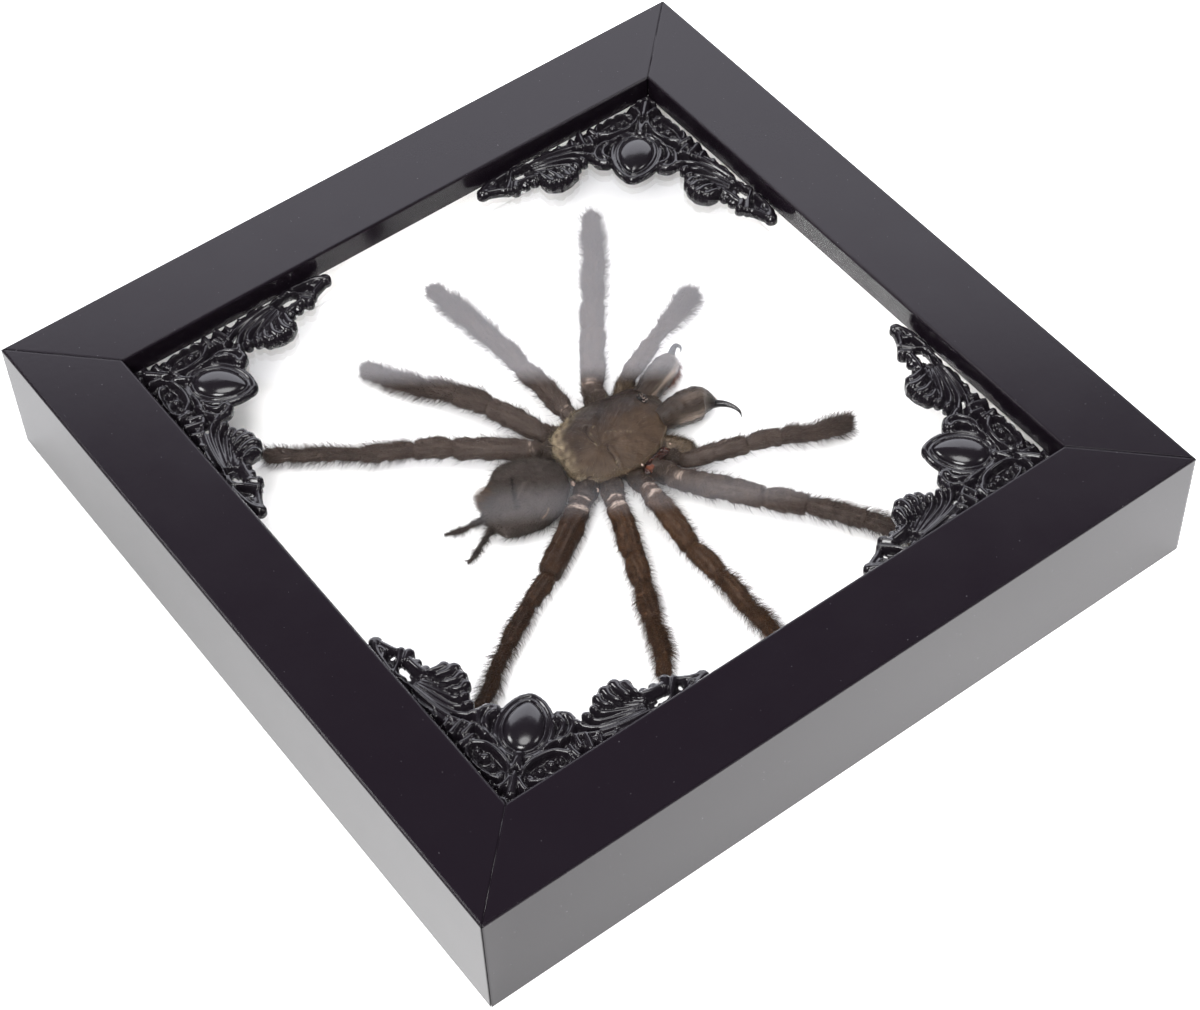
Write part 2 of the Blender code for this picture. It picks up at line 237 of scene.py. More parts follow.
def picture_glass():
    """Float glass: clear, mirror-smooth, lets shadow rays through so the case is lit."""
    material, tree, shader, _ = finish("clear_float_glass", "#fbfbfc", 0.0, IOR=1.5,
                                       Transmission_Weight=1.0)
    clear = add(tree, "ShaderNodeBsdfTransparent", {"Color": "#fafafb"})
    ray = add(tree, "ShaderNodeLightPath", out="Is Shadow Ray")
    mixed = add(tree, "ShaderNodeMixShader", {0: ray, 1: shader.outputs[0], 2: clear})
    tree.links.new(mixed, tree.nodes["Material Output"].inputs["Surface"])
    return material


def mount_paper():
    """White mount board, uncoated paper face: matt, with a faint felt grain."""
    material, tree, shader, where = finish("white_mount_board", "#f3f2ef", 0.9)
    felt = add(tree, NOISE, {"Vector": where, "Scale": 1 / (0.5 * MM), "Detail": 3, "Roughness": 0.55})
    wire(add(tree, BUMP, {"Height": felt, "Distance": 0.03 * MM, "Strength": 0.4}), shader, "Normal")
    cloud = add(tree, NOISE, {"Vector": where, "Scale": 1 / (20 * MM), "Detail": 3, "Roughness": 0.55})
    tone = add(tree, RANGE, {"Value": cloud, "From Min": 0.3, "From Max": 0.7})
    wire(add(tree, MIX, {0: tone, 6: "#f1f0ec", 7: "#f5f4f2"}, 2, data_type="RGBA"), shader)
    return material


def hardboard():
    """Brown hardboard, pressed wood fibre: dull, mottled, fibrous."""
    material, tree, shader, where = finish("brown_hardboard", "#6d4c30", 0.78)
    fibre = add(tree, "ShaderNodeMapping", {"Vector": where, "Scale": (1.0, 0.25, 1.0)})
    grain = add(tree, NOISE, {"Vector": fibre, "Scale": 1 / (0.8 * MM), "Detail": 5, "Roughness": 0.7})
    tone = add(tree, RANGE, {"Value": grain, "From Min": 0.3, "From Max": 0.7})
    wire(add(tree, MIX, {0: tone, 6: "#573a24", 7: "#86633f"}, 2, data_type="RGBA"), shader)
    wire(add(tree, BUMP, {"Height": grain, "Distance": 0.08 * MM, "Strength": 0.6}), shader, "Normal")
    return material


def zinc_steel():
    """Bright zinc plate on stamped steel: grey metal with a faint spangle and brushed lines."""
    material, tree, shader, where = finish("zinc_plated_steel", "#b9bab6", 0.34, Metallic=1.0)
    spangle = add(tree, "ShaderNodeTexVoronoi", {"Vector": where, "Scale": 1 / (1.6 * MM)}, "Color")
    sheen = {"Value": spangle, "From Min": 0.2, "From Max": 0.8, "To Min": 0.26, "To Max": 0.44}
    wire(add(tree, RANGE, sheen), shader, "Roughness")
    brushed = add(tree, NOISE, {"Vector": where, "Scale": 1 / (0.3 * MM), "Detail": 3, "Roughness": 0.55})
    wire(add(tree, BUMP, {"Height": brushed, "Distance": 0.01 * MM, "Strength": 0.4}), shader, "Normal")
    return material


def black_resin():
    """Cast resin painted gloss black: deep black with wet highlights, slightly uneven."""
    material, tree, shader, where = finish("gloss_black_resin", "#1b171c", 0.17, IOR=1.52)
    uneven = add(tree, NOISE, {"Vector": where, "Scale": 1 / (2.2 * MM), "Detail": 2, "Roughness": 0.55})
    wire(add(tree, BUMP, {"Height": uneven, "Distance": 0.06 * MM, "Strength": 0.4}), shader, "Normal")
    return material


def cuticle(name, dark, light, pale, roughness, deep=None, shine=0.15, grain=0.1):
    """Dried cuticle: thin brown chitin under short down, satin, with pale dry joint skin. The silk
    mark runs a fine streak along the hair's lie; the dark mark leads to the deep colour. On the carapace,
    abdomen and jaws the dark mark also carries painted shade, and the pale mark painted glints and sheen."""
    material, tree, shader, where = finish(name, dark, roughness, IOR=1.5, Specular_IOR_Level=shine)
    streak = add(tree, MARK, out="Vector", attribute_name="silk")
    fine = add(tree, NOISE, {"Vector": streak, "Scale": 1, "Detail": 3, "Roughness": 0.6})
    broad = add(tree, NOISE, {"Vector": where, "Scale": 1 / (3.5 * MM), "Detail": 4, "Roughness": 0.55})
    patches = add(tree, RANGE, {"Value": broad, "From Min": 0.32, "From Max": 0.68})
    streaks = add(tree, RANGE, {"Value": fine, "From Min": 0.4, "From Max": 0.7, "To Max": 0.8})
    colour = add(tree, MIX, {0: patches, 6: dark, 7: light}, 2, data_type="RGBA")
    colour = add(tree, MIX, {0: streaks, 6: colour, 7: light}, 2, data_type="RGBA")
    for key, tint in (("dark", deep), ("pale", pale)):
        if tint:
            amount = add(tree, MARK, out="Fac", attribute_name=key)
            colour = add(tree, MIX, {0: amount, 6: colour, 7: tint}, 2, data_type="RGBA")
    wire(colour, shader)
    down = add(tree, BUMP, {"Height": fine, "Distance": grain * MM, "Strength": 0.8})
    folds = add(tree, NOISE, {"Vector": where, "Scale": 1 / (1.6 * MM), "Detail": 3, "Roughness": 0.55})
    bumps = {"Height": folds, "Normal": down, "Distance": 0.16 * MM, "Strength": 0.6}
    wire(add(tree, BUMP, bumps), shader, "Normal")
    sheen = {"Value": fine, "From Min": 0.3, "From Max": 0.7, "To Min": roughness - 0.08,
             "To Max": roughness + 0.1}
    wire(add(tree, RANGE, sheen), shader, "Roughness")
    return material


def fang_gloss():
    """Fang: thick polished black chitin, like horn."""
    material, tree, shader, where = finish("polished_black_fang", "#0d0a0a", 0.14, IOR=1.55)
    worn = add(tree, NOISE, {"Vector": where, "Scale": 1 / (0.6 * MM), "Detail": 3, "Roughness": 0.55})
    wire(add(tree, BUMP, {"Height": worn, "Distance": 0.01 * MM, "Strength": 0.4}), shader, "Normal")
    return material


def eye_lens():
    """Eye: a tiny clear lens over black, wet looking."""
    return finish("glossy_black_eye", "#0b0908", 0.06, IOR=1.45)[0]


def red_membrane():
    """Dried joint membrane: mottled brown to orange-red skin, glossy like lacquer."""
    material, tree, shader, where = finish("orange_red_membrane", "#4a1a0c", 0.14, IOR=1.45)
    mottle = add(tree, NOISE, {"Vector": where, "Scale": 1 / (1.8 * MM), "Detail": 3, "Roughness": 0.55})
    tone = add(tree, RANGE, {"Value": mottle, "From Min": 0.5, "From Max": 0.72})
    wire(add(tree, MIX, {0: tone, 6: "#1f0b06", 7: "#5a2a12"}, 2, data_type="RGBA"), shader)
    crinkle = add(tree, NOISE, {"Vector": where, "Scale": 1 / (0.7 * MM), "Detail": 3, "Roughness": 0.55})
    wire(add(tree, BUMP, {"Height": crinkle, "Distance": 0.16 * MM, "Strength": 0.9}), shader, "Normal")
    return material


def pale_skin_and_eye_glints():
    """Dried joint skin: creamy pink, crinkled and shiny; the same finish makes the painted glints round the
    eyes.
    """
    material, tree, shader, where = finish("pale_joint_skin_and_eye_glints_finish", "#b59e90", 0.22, IOR=1.45)
    crinkle = add(tree, NOISE, {"Vector": where, "Scale": 1 / (0.4 * MM), "Detail": 3, "Roughness": 0.55})
    wire(add(tree, BUMP, {"Height": crinkle, "Distance": 0.1 * MM, "Strength": 0.8}), shader, "Normal")
    return material


def hair(name, dark, light):
    """Spider hair: fine dry bristle, brown, with a soft sheen; each hair has its own shade."""
    material, tree, shader, _ = finish(name, dark, 0.5, IOR=1.5, Specular_IOR_Level=0.2)
    shade = add(tree, MARK, out="Fac", attribute_name="shade")
    wire(add(tree, MIX, {0: shade, 6: dark, 7: light}, 2, data_type="RGBA"), shader)
    return material


# ---------------------------------------------------------------- spider: limbs

# Each limb: where it leaves the body (degrees around the prosoma), the end of its trochanter in the
# board's plane, and its segments beyond that as (length, heading, height of the far joint, radius).
# Millimetres and degrees, heights above the board.
LIMBS = {
    "palp_left": (140, (-10.8, 20.5), [
        (12.5, 114, 5.6, 2.2), (5.5, 113, 5.2, 1.7), (7.0, 114, 4.4, 2.2), (9.5, 112, 3.2, 2.6)]),
    "leg_1_left": (163, (-14.2, 12.0), [
        (17.5, 142, 5.4, 3.1), (10.0, 145, 5.0, 2.8), (15.5, 141, 4.0, 2.6), (11.5, 147, 3.0, 2.4),
        (6.5, 143, 2.6, 2.3)]),
    "leg_2_left": (196, (-11.7, 2.3), [
        (17.0, 180, 5.2, 2.6), (11.0, 180, 4.8, 2.3), (10.0, 183, 4.0, 2.3), (11.0, 183, 3.0, 2.4),
        (7.0, 186, 2.6, 2.1)]),
    "leg_3_left": (225, (-10.3, -6.5), [
        (14.5, 201, 5.2, 2.8), (9.5, 203, 4.8, 2.7), (8.0, 215, 4.0, 2.5), (12.0, 208, 3.0, 2.3),
        (6.5, 207, 2.6, 2.3)]),
    "leg_4_left": (243, (-6.9, -11.5), [
        (18.5, 232, 5.4, 2.8), (9.5, 231, 5.0, 2.5), (13.0, 237, 4.0, 2.2), (17.5, 229, 3.0, 1.7),
        (7.0, 232, 2.6, 2.0)]),
    "palp_right": (36, (19.1, 17.0), [
        (14.2, 69, 5.6, 2.4), (8.5, 70, 5.2, 2.2), (9.0, 63, 4.4, 2.2), (10.0, 81, 3.2, 2.4)]),
    "leg_1_right": (14, (22.3, 11.4), [
        (20.6, 33.5, 5.6, 3.0), (10.5, 42.5, 5.0, 2.7), (14.5, 37, 4.0, 2.4), (11.0, 33, 3.0, 2.2),
        (6.5, 37, 2.6, 2.2)]),
    "leg_2_right": (-12, (21.4, 3.5), [
        (19.3, -8, 5.2, 2.6), (9.8, 1, 4.8, 2.4), (12.0, -1, 4.0, 2.1), (10.0, 3, 3.0, 1.9),
        (6.0, 2, 2.6, 2.0)]),
    "leg_3_right": (-38, (19.2, -5.4), [
        (16.0, -22, 5.2, 2.7), (8.5, -23, 4.8, 2.4), (10.0, -25, 4.0, 2.2), (10.0, -22, 3.0, 1.9),
        (6.0, -38, 2.6, 1.8)]),
    "leg_4_right": (-63, (14.5, -12.6), [
        (21.5, -56, 5.2, 2.9), (9.0, -66, 4.4, 2.1), (12.0, -61, 3.6, 1.9), (15.5, -56, 2.8, 1.6),
        (6.5, -54, 2.5, 1.8)]),
}
# How much bare joint skin each limb shows at its trochanter
BARE_SKIN = {"leg_2_right": 1.0, "leg_3_right": 1.0, "leg_4_right": 1.0, "leg_1_right": 0.6,
             "leg_1_left": 0.5, "leg_2_left": 0.5, "leg_4_left": 0.45}
# By part of a limb: how much its middle swells and its near end narrows
BELLY = np.array([0.0, 0.0, 0.05, 0.10, 0.05, 0.03, 0.04])
NECK = np.array([0.0, 0.10, 0.16, 0.20, 0.22, 0.18, 0.16])
# Height of the coxae, and the body's middle and half sizes (mm)
COXA_HEIGHT = 4.6
BODY_CENTRE = np.array([2.4, 6.4])
BODY_HALF = np.array([11.6, 15.0])
# Ring spacing along a limb (mm) and points in a ring
STEP = 0.25
RING = 32


def limb_line(root_angle, trochanter, segments):
    """Joint positions (mm) from inside the body to the limb's end, and each segment's radius."""
    turn = math.radians(root_angle)
    hip = BODY_CENTRE + BODY_HALF * 0.62 * np.array([math.cos(turn), math.sin(turn)])
    joints = [np.array([*hip, COXA_HEIGHT - 2.0]), np.array([*trochanter, COXA_HEIGHT])]
    joints.insert(1, joints[1] + (joints[0] - joints[1]) * 0.24)
    joints[1][2] = COXA_HEIGHT - 0.7
    radii = [1.06 * segments[0][3], 0.94 * segments[0][3]]
    for length, heading, height, radius in segments:
        a = math.radians(heading)
        start = joints[-1]
        joints.append(np.array([start[0] + length * math.cos(a), start[1] + length * math.sin(a), height]))
        radii.append(radius)
    return np.array(joints), np.array(radii)


def limb_rings(name, spec):
    """A jointed limb: rings across a smoothed centre line.

    Within a segment the radius is r (1 - neck + belly): the neck is a bell at the segment's near end
    and the belly half a sine wave, so each joint is a step. The first two joints carry fine crosswise
    creases of bare skin; shallow folds run along the limb.
    Returns the rings, their directions and places along the limb, and the marks on them."""
    joints, radii = limb_line(*spec)
    lengths = np.linalg.norm(np.diff(joints, axis=0), axis=1)
    stops = np.concatenate([[0.0], np.cumsum(lengths)])
    s = np.arange(0.0, stops[-1] + STEP / 2, STEP)
    line = np.stack([np.interp(s, stops, joints[:, k]) for k in range(3)], -1)
    which = np.clip(np.searchsorted(stops, s, side="right") - 1, 0, len(lengths) - 1)
    near = s - stops[which]
    t = near / lengths[which]
    far = stops[which + 1] - s
    seed = sum(map(ord, name))
    line[:, 2] += 0.4 * np.sin(np.pi * t) * (which > 1)
    kernel = bump(np.arange(-10, 11) * STEP, 0.0, 1.1)
    kernel /= kernel.sum()
    padded = np.concatenate([np.repeat(line[:1], 10, 0), line, np.repeat(line[-1:], 10, 0)])
    line = np.stack([np.convolve(padded[:, k], kernel, "valid") for k in range(3)], -1)
    along = np.stack([s, 0 * s, 0 * s], -1)
    ahead = unit(np.gradient(line, axis=0))
    side = unit(np.cross(ahead, [0.0, 0.0, 1.0]))
    up = np.cross(side, ahead)
    line = line + side * (0.16 * ripple(along, 9.0, seed + 3) * smooth(4.0, 10.0, s))[:, None]

    swell = 1 - NECK[which] * bump(near, 0.0, 1.0) - 0.09 * bump(far, 0.0, 0.5)
    swell = swell + BELLY[which] * np.sin(np.pi * t)
    radius = 0.95 * (radii[which] * swell) * (1 + 0.035 * ripple(along, 5.0, seed + 4))
    bare = np.zeros_like(s)
    show = BARE_SKIN.get(name, 0.15)
    shift = 1.7 if show > 0.9 else 0.4
    patches = ((0.8 * show, 0.6), (show, 0.9), (0.12, 0.3), (0.12, 0.25), (0.1, 0.25), (0.1, 0.25))
    for k, (strength, width) in enumerate(patches[:len(stops) - 2]):
        middle = stops[k + 1] + (shift if k < 2 else 0.1)
        bare = np.maximum(bare, strength * bump(s, middle, width))
    end = np.maximum(stops[-1] - s, 0.0)
    reach = 0.8 * radii[-1]
    cap = np.sqrt(np.clip(1 - (1 - np.minimum(end / reach, 1.0)) ** 2, 0.0025, 1.0))
    radius = radius * np.where(end < reach, cap, 1.0)

    angle = np.linspace(0, 2 * np.pi, RING, endpoint=False)
    c, d = np.cos(angle), np.sin(angle)
    phase = ripple(along, 18.0, seed)[:, None]
    folds = 0.05 * np.sin(3 * angle + 2.2 * phase + seed) + 0.035 * np.sin(5 * angle - 3.0 * phase)
    folds = folds + 0.022 * np.sin(9 * angle + 2.0 * phase)
    within = (smooth(0.05, 0.25, t) * smooth(0.02, 0.2, 1 - t) * (which > 1))[:, None]
    for place, width in ((0.95, 0.16), (1.75, 0.12), (2.35, 0.15)):
        folds = folds - 0.2 * within * np.exp(-((angle - place - 0.16 * phase) / width) ** 2)
    normal = side[:, None] * c[None, :, None] + up[:, None] * d[None, :, None]
    shape = side[:, None] * c[None, :, None] + up[:, None] * (d * np.where(d < 0, 0.84, 0.93))[None, :, None]
    rings = line[:, None] + shape * (radius[:, None] * (1 + folds))[..., None]
    crease = 0.16 * smooth(0.15, 0.6, bare) * np.sin(2 * np.pi * s / 0.62 + 0.8 * phase[:, 0])
    lumps = 0.14 * ripple(rings, 2.6, seed + 1) * np.minimum(radius, 1.0)[:, None] + crease[:, None]
    rings = rings + normal * lumps[..., None]
    rings[..., 2] = np.maximum(rings[..., 2], 0.12)

    ragged = 1 + 0.7 * ripple(rings * np.array([1.0, 1.0, 0.4]), 0.9, seed + 2) + 4.5 * crease[:, None]
    pale = bare[:, None] * ragged * smooth(0.45, 0.95, d + 0.2 * ripple(rings, 1.6, seed + 5))
    pale = np.clip(1.5 * pale - 0.4, 0, 0.85)
    stripes = bump(angle, 1.15, 0.16) + bump(angle, 2.0, 0.16)
    striped = np.isin(which, (2, 3, 4)) * smooth(0.1, 0.3, t) * smooth(0.0, 0.2, 1 - t)
    pale = np.maximum(pale, 0.07 * stripes[None] * striped[:, None])
    silk = np.stack([(radius[:, None] * c[None]) / 0.3, (radius[:, None] * d[None]) / 0.3,
                     (s / 2.2)[:, None] + 0 * c[None]], -1)
    tan = (1 - smooth(stops[1] - 1.0, stops[2] + 1.5, s + 0.8 * phase[:, 0]))[:, None] + 0 * c[None]
    hollow = tan * smooth(0.2, 0.9, ripple(rings, 2.6, seed + 6))
    rings = rings - normal * (0.3 * hollow)[..., None]
    marks = {"pale": with_ends(pale), "dark": with_ends(tan),
             "silk": with_ends(silk, silk[0, 0], silk[-1, -1])}
    return {"rings": rings, "ahead": ahead, "normal": normal, "s": s, "which": which, "stops": stops,
            "pale": pale, "marks": marks}


# ---------------------------------------------------------------- spider: body

def natural(knots, values, at):
    """Catmull-Rom interpolation through knots."""
    h = np.diff(knots)
    slope = np.gradient(values, knots)
    i = np.clip(np.searchsorted(knots, at, side="right") - 1, 0, len(h) - 1)
    t = (at - knots[i]) / h[i]
    return ((2 * t ** 3 - 3 * t ** 2 + 1) * values[i] + (t ** 3 - 2 * t ** 2 + t) * h[i] * slope[i]
            + (3 * t ** 2 - 2 * t ** 3) * values[i + 1] + (t ** 3 - t ** 2) * h[i] * slope[i + 1])


def outline(reach, turn):
    """A closed outline's distance from its middle at each turn, through evenly spaced reaches (mm)."""
    count = len(reach)
    values = np.array([reach[k % count] for k in range(-2, count + 3)], float)
    knots = np.arange(-2, count + 3) * 2 * np.pi / count
    return natural(knots, values, np.mod(turn, 2 * np.pi))


def way(points, count=40):
    """A smooth path through control points."""
    points = np.asarray(points, float)
    knots = np.linspace(0, 1, len(points))
    u = np.linspace(0, 1, count)
    return np.stack([natural(knots, points[:, k], u) for k in range(points.shape[1])], -1)


def near_path(x, y, points):
    """Distance from each place to a smooth path."""
    gap = np.full(x.shape, 99.0)
    for px, py in way(points, 48):
        gap = np.minimum(gap, np.hypot(x - px, y - py))
    return gap


def along_path(x, y, points, width):
    """1 on a smooth path, falling away to either side over width (mm)."""
    return bump(near_path(x, y, points), 0.0, width)


def grounded(rings):
    """Rings in millimetres above the board, as a closed shell in metres."""
    verts, quads, tris = tube(rings)
    return verts * MM + np.array([0.0, 0.0, BOARD]), quads, tris


# The carapace: reach of its outline around BODY_CENTRE, rings over and under, and what is on it (mm)
CARAPACE_REACH = (11.6, 11.4, 12.2, 14.0, 15.9, 16.4, 12.9, 12.0, 12.3, 13.3, 15.6, 14.8, 16.0, 14.1, 11.9)
CARAPACE_RINGS, STERNUM_RINGS = 76, 14
FOVEA = (4.9, 0.9)
EYES = (-0.6, 17.4)
FOLD_LEFT = ((-1.6, 1.4), (-0.6, 0.5), (1.8, 0.1), (4.0, 0.4))
FOLD_RIGHT = ((5.9, 2.0), (7.0, 1.5), (9.6, 1.5), (12.4, 1.0))
HEAD_GROOVES = (((5.0, 2.4), (6.0, 6.4), (8.0, 10.8), (11.0, 13.6)),
                ((3.4, 1.6), (-1.0, 4.4), (-4.6, 8.6), (-7.6, 12.6)))
HEAD_RIDGE = ((3.2, 3.8), (5.0, 7.4), (7.4, 10.6), (9.9, 13.0))
FURROWS = (-12, -48, -88, -132, -168, 160)
# Painted glints: thin pale highlight lines on the carapace, as path, strength and width
PAINTED_GLINT_LINES = (
    (((2.6, 3.6), (4.4, 6.4), (6.6, 9.2)), 0.3, 0.22),
    (((-1.2, 3.4), (0.0, 1.6), (0.8, 0.9)), 0.35, 0.2),
    (((9.8, 1.6), (11.2, 0.9), (12.4, 0.7)), 0.9, 0.3),
)


def carapace_height(x, y, rho):
    """Height (mm above the board) of the carapace: a dome 5.7 + 3.5 (1 - rho^2.5) over the margin, a
    raised head, a sharp fold either side of the fovea, the two head grooves, furrows towards the legs
    and a rolled rim."""
    z = 5.7 + 3.5 * (1 - rho ** 2.5)
    inner = 1 - smooth(0.84, 0.99, rho)
    z = z + 1.25 * mound(x, y, (0.6, 14.4), (6.6, 7.0)) * (1 - smooth(0.9, 1.0, rho))
    z = z - 0.6 * mound(x, y, FOVEA, (2.2, 1.2))
    for fold, depth in ((FOLD_LEFT, 0.28), (FOLD_RIGHT, 0.42)):
        gap = near_path(x, y, fold)
        z = z - depth * bump(gap, 0.0, 0.26) * inner
        z = z + 0.5 * depth * bump(gap, 0.68, 0.35) * inner
    for groove in HEAD_GROOVES:
        z = z - 0.2 * along_path(x, y, groove, 0.8) * inner
    turn = np.arctan2(y - FOVEA[1], x - FOVEA[0])
    far = np.hypot(x - FOVEA[0], y - FOVEA[1])
    for heading in FURROWS:
        away = from_heading(turn, heading) * np.maximum(far, 2.0)
        z = z - 0.2 * bump(away, 0.0, 1.1) * smooth(2.0, 5.0, far) * inner
    z = z + 0.16 * along_path(x, y, HEAD_RIDGE, 0.5) * inner
    return z + 0.3 * bump(rho, 0.965, 0.022)


def ring_silk(rings, across, along):
    """Streak coordinates on a tube: fine around it (across, mm) and long down it (along, mm)."""
    middle = rings.mean(1, keepdims=True)
    step = np.linalg.norm(np.diff(middle[:, 0], axis=0), axis=1)
    down = np.concatenate([[0.0], np.cumsum(step)])[:, None] / along
    turn = np.linspace(0, 2 * np.pi, rings.shape[1], endpoint=False)[None]
    wide = np.linalg.norm(rings - middle, axis=2).max() / across
    silk = np.stack([wide * np.cos(turn) + 0 * down, wide * np.sin(turn) + 0 * down, down + 0 * turn], -1)
    return with_ends(silk, silk[0, 0], silk[-1, 0])


def carapace_at(x, y):
    """The carapace's height (mm above the board) at a place."""
    gap = np.array([x, y]) - BODY_CENTRE
    reach = outline(CARAPACE_REACH, np.array([math.atan2(gap[1], gap[0])]))
    return float(carapace_height(np.array([x]), np.array([y]), np.hypot(*gap) / reach)[0])


def groove_shade(x, y):
    """Painted shade for the carapace's creases: 1 in its folds, less in its head grooves and 0 away from
    them.
    """
    folds = [along_path(x, y, fold, 0.24) for fold in (FOLD_LEFT, FOLD_RIGHT)]
    grooves = [0.35 * along_path(x, y, groove, 0.7) for groove in HEAD_GROOVES]
    return np.max(folds + grooves, axis=0)


def prosoma_shell():
    """Carapace and sternum: rings of one outline, growing over the top from its middle to the margin
    and shrinking back below at 5.3 - 4.3 (1 - rho^3)^0.5. Returns the shell, its marks and its rings."""
    turns = np.linspace(0, 2 * np.pi, 168, endpoint=False)
    over = np.sin(np.linspace(0, 0.5 * np.pi, CARAPACE_RINGS))
    rho = np.concatenate([over, np.linspace(0.97, 0.0, STERNUM_RINGS)])[:, None] + 0 * turns
    above = (np.arange(len(rho)) < CARAPACE_RINGS)[:, None]
    reach = outline(CARAPACE_REACH, turns)
    x = BODY_CENTRE[0] + reach * np.cos(turns) * rho
    y = BODY_CENTRE[1] + reach * np.sin(turns) * rho
    flat = np.stack([x, y, 0 * x], -1)
    dome = carapace_height(x, y, rho) + 0.10 * ripple(flat, 3.4, 5) + 0.03 * ripple(flat, 1.2, 8)
    rings = np.stack([x, y, np.where(above, dome, 5.3 - 4.3 * (1 - rho ** 3) ** 0.5)], -1)

    rear = bump(from_heading(turns, 243), 0.0, 0.9)
    margin = smooth(0.962, 0.972, rho) * (1 - smooth(0.99, 1.0, rho))
    edge = 0.55 * rear ** 1.5 * smooth(0.72, 0.93, rho) + 0.12 * margin
    # Painted glints: a pale highlight spot and lines along the folds, broken up, added to the real pale rim
    # in the pale mark
    glint = 0.9 * mound(x, y, (3.8, 0.1), (0.7, 0.28))
    for line, strength, width in PAINTED_GLINT_LINES:
        glint = glint + strength * along_path(x, y, line, width)
    glint = glint * smooth(-0.1, 0.7, ripple(rings, 0.8, 9))
    pale = np.clip(edge * (1 + 0.6 * ripple(rings, 1.6, 6)) + glint, 0, 1) * (rho > 0.05)
    # Dark mark: a darker head towards the left and front, partly its own colour and partly painted shade on
    # its left side; painted shade in the folds and head grooves; a darker patch to the rear
    head = smooth(-5.0, 6.0, 0.15 * y - x + 1.2 * ripple(rings, 5.0, 17)) * smooth(-7.0, -2.0, y + 0.3 * x)
    patch = 0.4 * mound(x, y, (0.9, -3.3), (3.2, 2.6))
    dark = np.clip(0.95 * head + 0.7 * groove_shade(x, y) * above + patch, 0, 1)
    ray = np.arctan2(y - FOVEA[1], x - FOVEA[0])
    far = np.hypot(x - FOVEA[0], y - FOVEA[1])
    silk = np.stack([17 * np.cos(ray), 17 * np.sin(ray), far / 3.2], -1)
    marks = {"pale": with_ends(pale), "dark": with_ends(dark),
             "silk": with_ends(silk, silk[0, 0], silk[-1, 0])}
    return grounded(rings), marks, rings


ABDOMEN_CENTRE = (4.8, -21.2)
ABDOMEN_REACH = (9.1, 9.2, 10.1, 11.6, 12.0, 11.3, 11.0, 10.3, 10.4, 11.7, 11.8, 9.6)
ABDOMEN_CREASE = ((0.6, -22.2), (3.0, -23.6), (5.4, -24.9), (8.4, -26.2))
ABDOMEN_GLINT_LINE = ((12.2, -20.0), (12.9, -21.0), (13.3, -22.4))


def abdomen_shell():
    """A sagging bag: rings of its outline, at height 5.2 + 5.1 s over and 5.2 - 4.6 s under with
    s = (1 - rho^2.3)^0.55, with a slanting crease darkened by painted shade, soft dents and a thin painted
    glint line. Returns the shell, its marks and its rings."""
    turns = np.linspace(0, 2 * np.pi, 132, endpoint=False)
    reach = outline(ABDOMEN_REACH, turns)
    over, under = np.sin(np.linspace(0.02, 0.5 * np.pi, 60)), np.sin(np.linspace(0.48 * np.pi, 0.02, 26))
    rho = np.concatenate([over, under])[:, None] + 0 * turns
    above = (np.arange(len(rho)) < len(over))[:, None]
    x = ABDOMEN_CENTRE[0] + reach * np.cos(turns) * rho
    y = ABDOMEN_CENTRE[1] + reach * np.sin(turns) * rho
    z = 5.2 + np.where(above, 5.1, -4.6) * (1 - rho ** 2.3) ** 0.55
    z = z - 0.5 * along_path(x, y, ABDOMEN_CREASE, 0.5) * (1 - rho ** 6) * above
    z = z - 0.5 * mound(x, y, (2.5, -17.5), (2.6, 6.0)) * above
    z = z - 0.35 * mound(x, y, (8.5, -22.5), (1.6, 4.0)) * above
    rings = np.stack([x, y, z], -1)
    away = unit(rings - np.array([*ABDOMEN_CENTRE, 5.2]))
    wrinkle = 0.22 * ripple(rings, 6.0, 11) + 0.10 * ripple(rings * np.array([1.0, 0.45, 1.0]), 1.7, 12)
    rings = rings + away * wrinkle[..., None]
    rings[..., 2] = np.maximum(rings[..., 2], 0.15)
    x, y, z = np.moveaxis(rings, -1, 0)
    # Pale mark: the painted glint line; dark mark: painted shade along the crease, on top
    marks = {"pale": with_ends(0.6 * along_path(x, y, ABDOMEN_GLINT_LINE, 0.15) * (z > 4)),
             "dark": with_ends(along_path(x, y, ABDOMEN_CREASE, 0.6) * (z > 5)),
             "silk": with_ends(rings / np.array([0.35, 1.6, 0.6]))}
    return grounded(rings), marks, rings


def sweep(points, side_radius, up_radius, count=20, steps=60, seed=0, rough=0.0):
    """A closed tube along a smooth path with its own side and up radii along the way (mm)."""
    knots = np.linspace(0, 1, len(points))
    u = np.linspace(0, 1, steps)
    line = way(points, steps)
    a = np.maximum(natural(knots, np.asarray(side_radius, float), u), 0.02)
    b = np.maximum(natural(knots, np.asarray(up_radius, float), u), 0.02)
    ahead = unit(np.gradient(line, axis=0))
    side = unit(np.cross(ahead, [0.0, 0.0, 1.0]))
    up = np.cross(side, ahead)
    angle = np.linspace(0, 2 * np.pi, count, endpoint=False)
    rings = (line[:, None] + side[:, None] * (a[:, None] * np.cos(angle))[..., None]
             + up[:, None] * (b[:, None] * np.sin(angle))[..., None])
    if rough:
        rings = rings + unit(rings - line[:, None]) * (rough * ripple(rings, 2.0, seed))[..., None]
    return rings


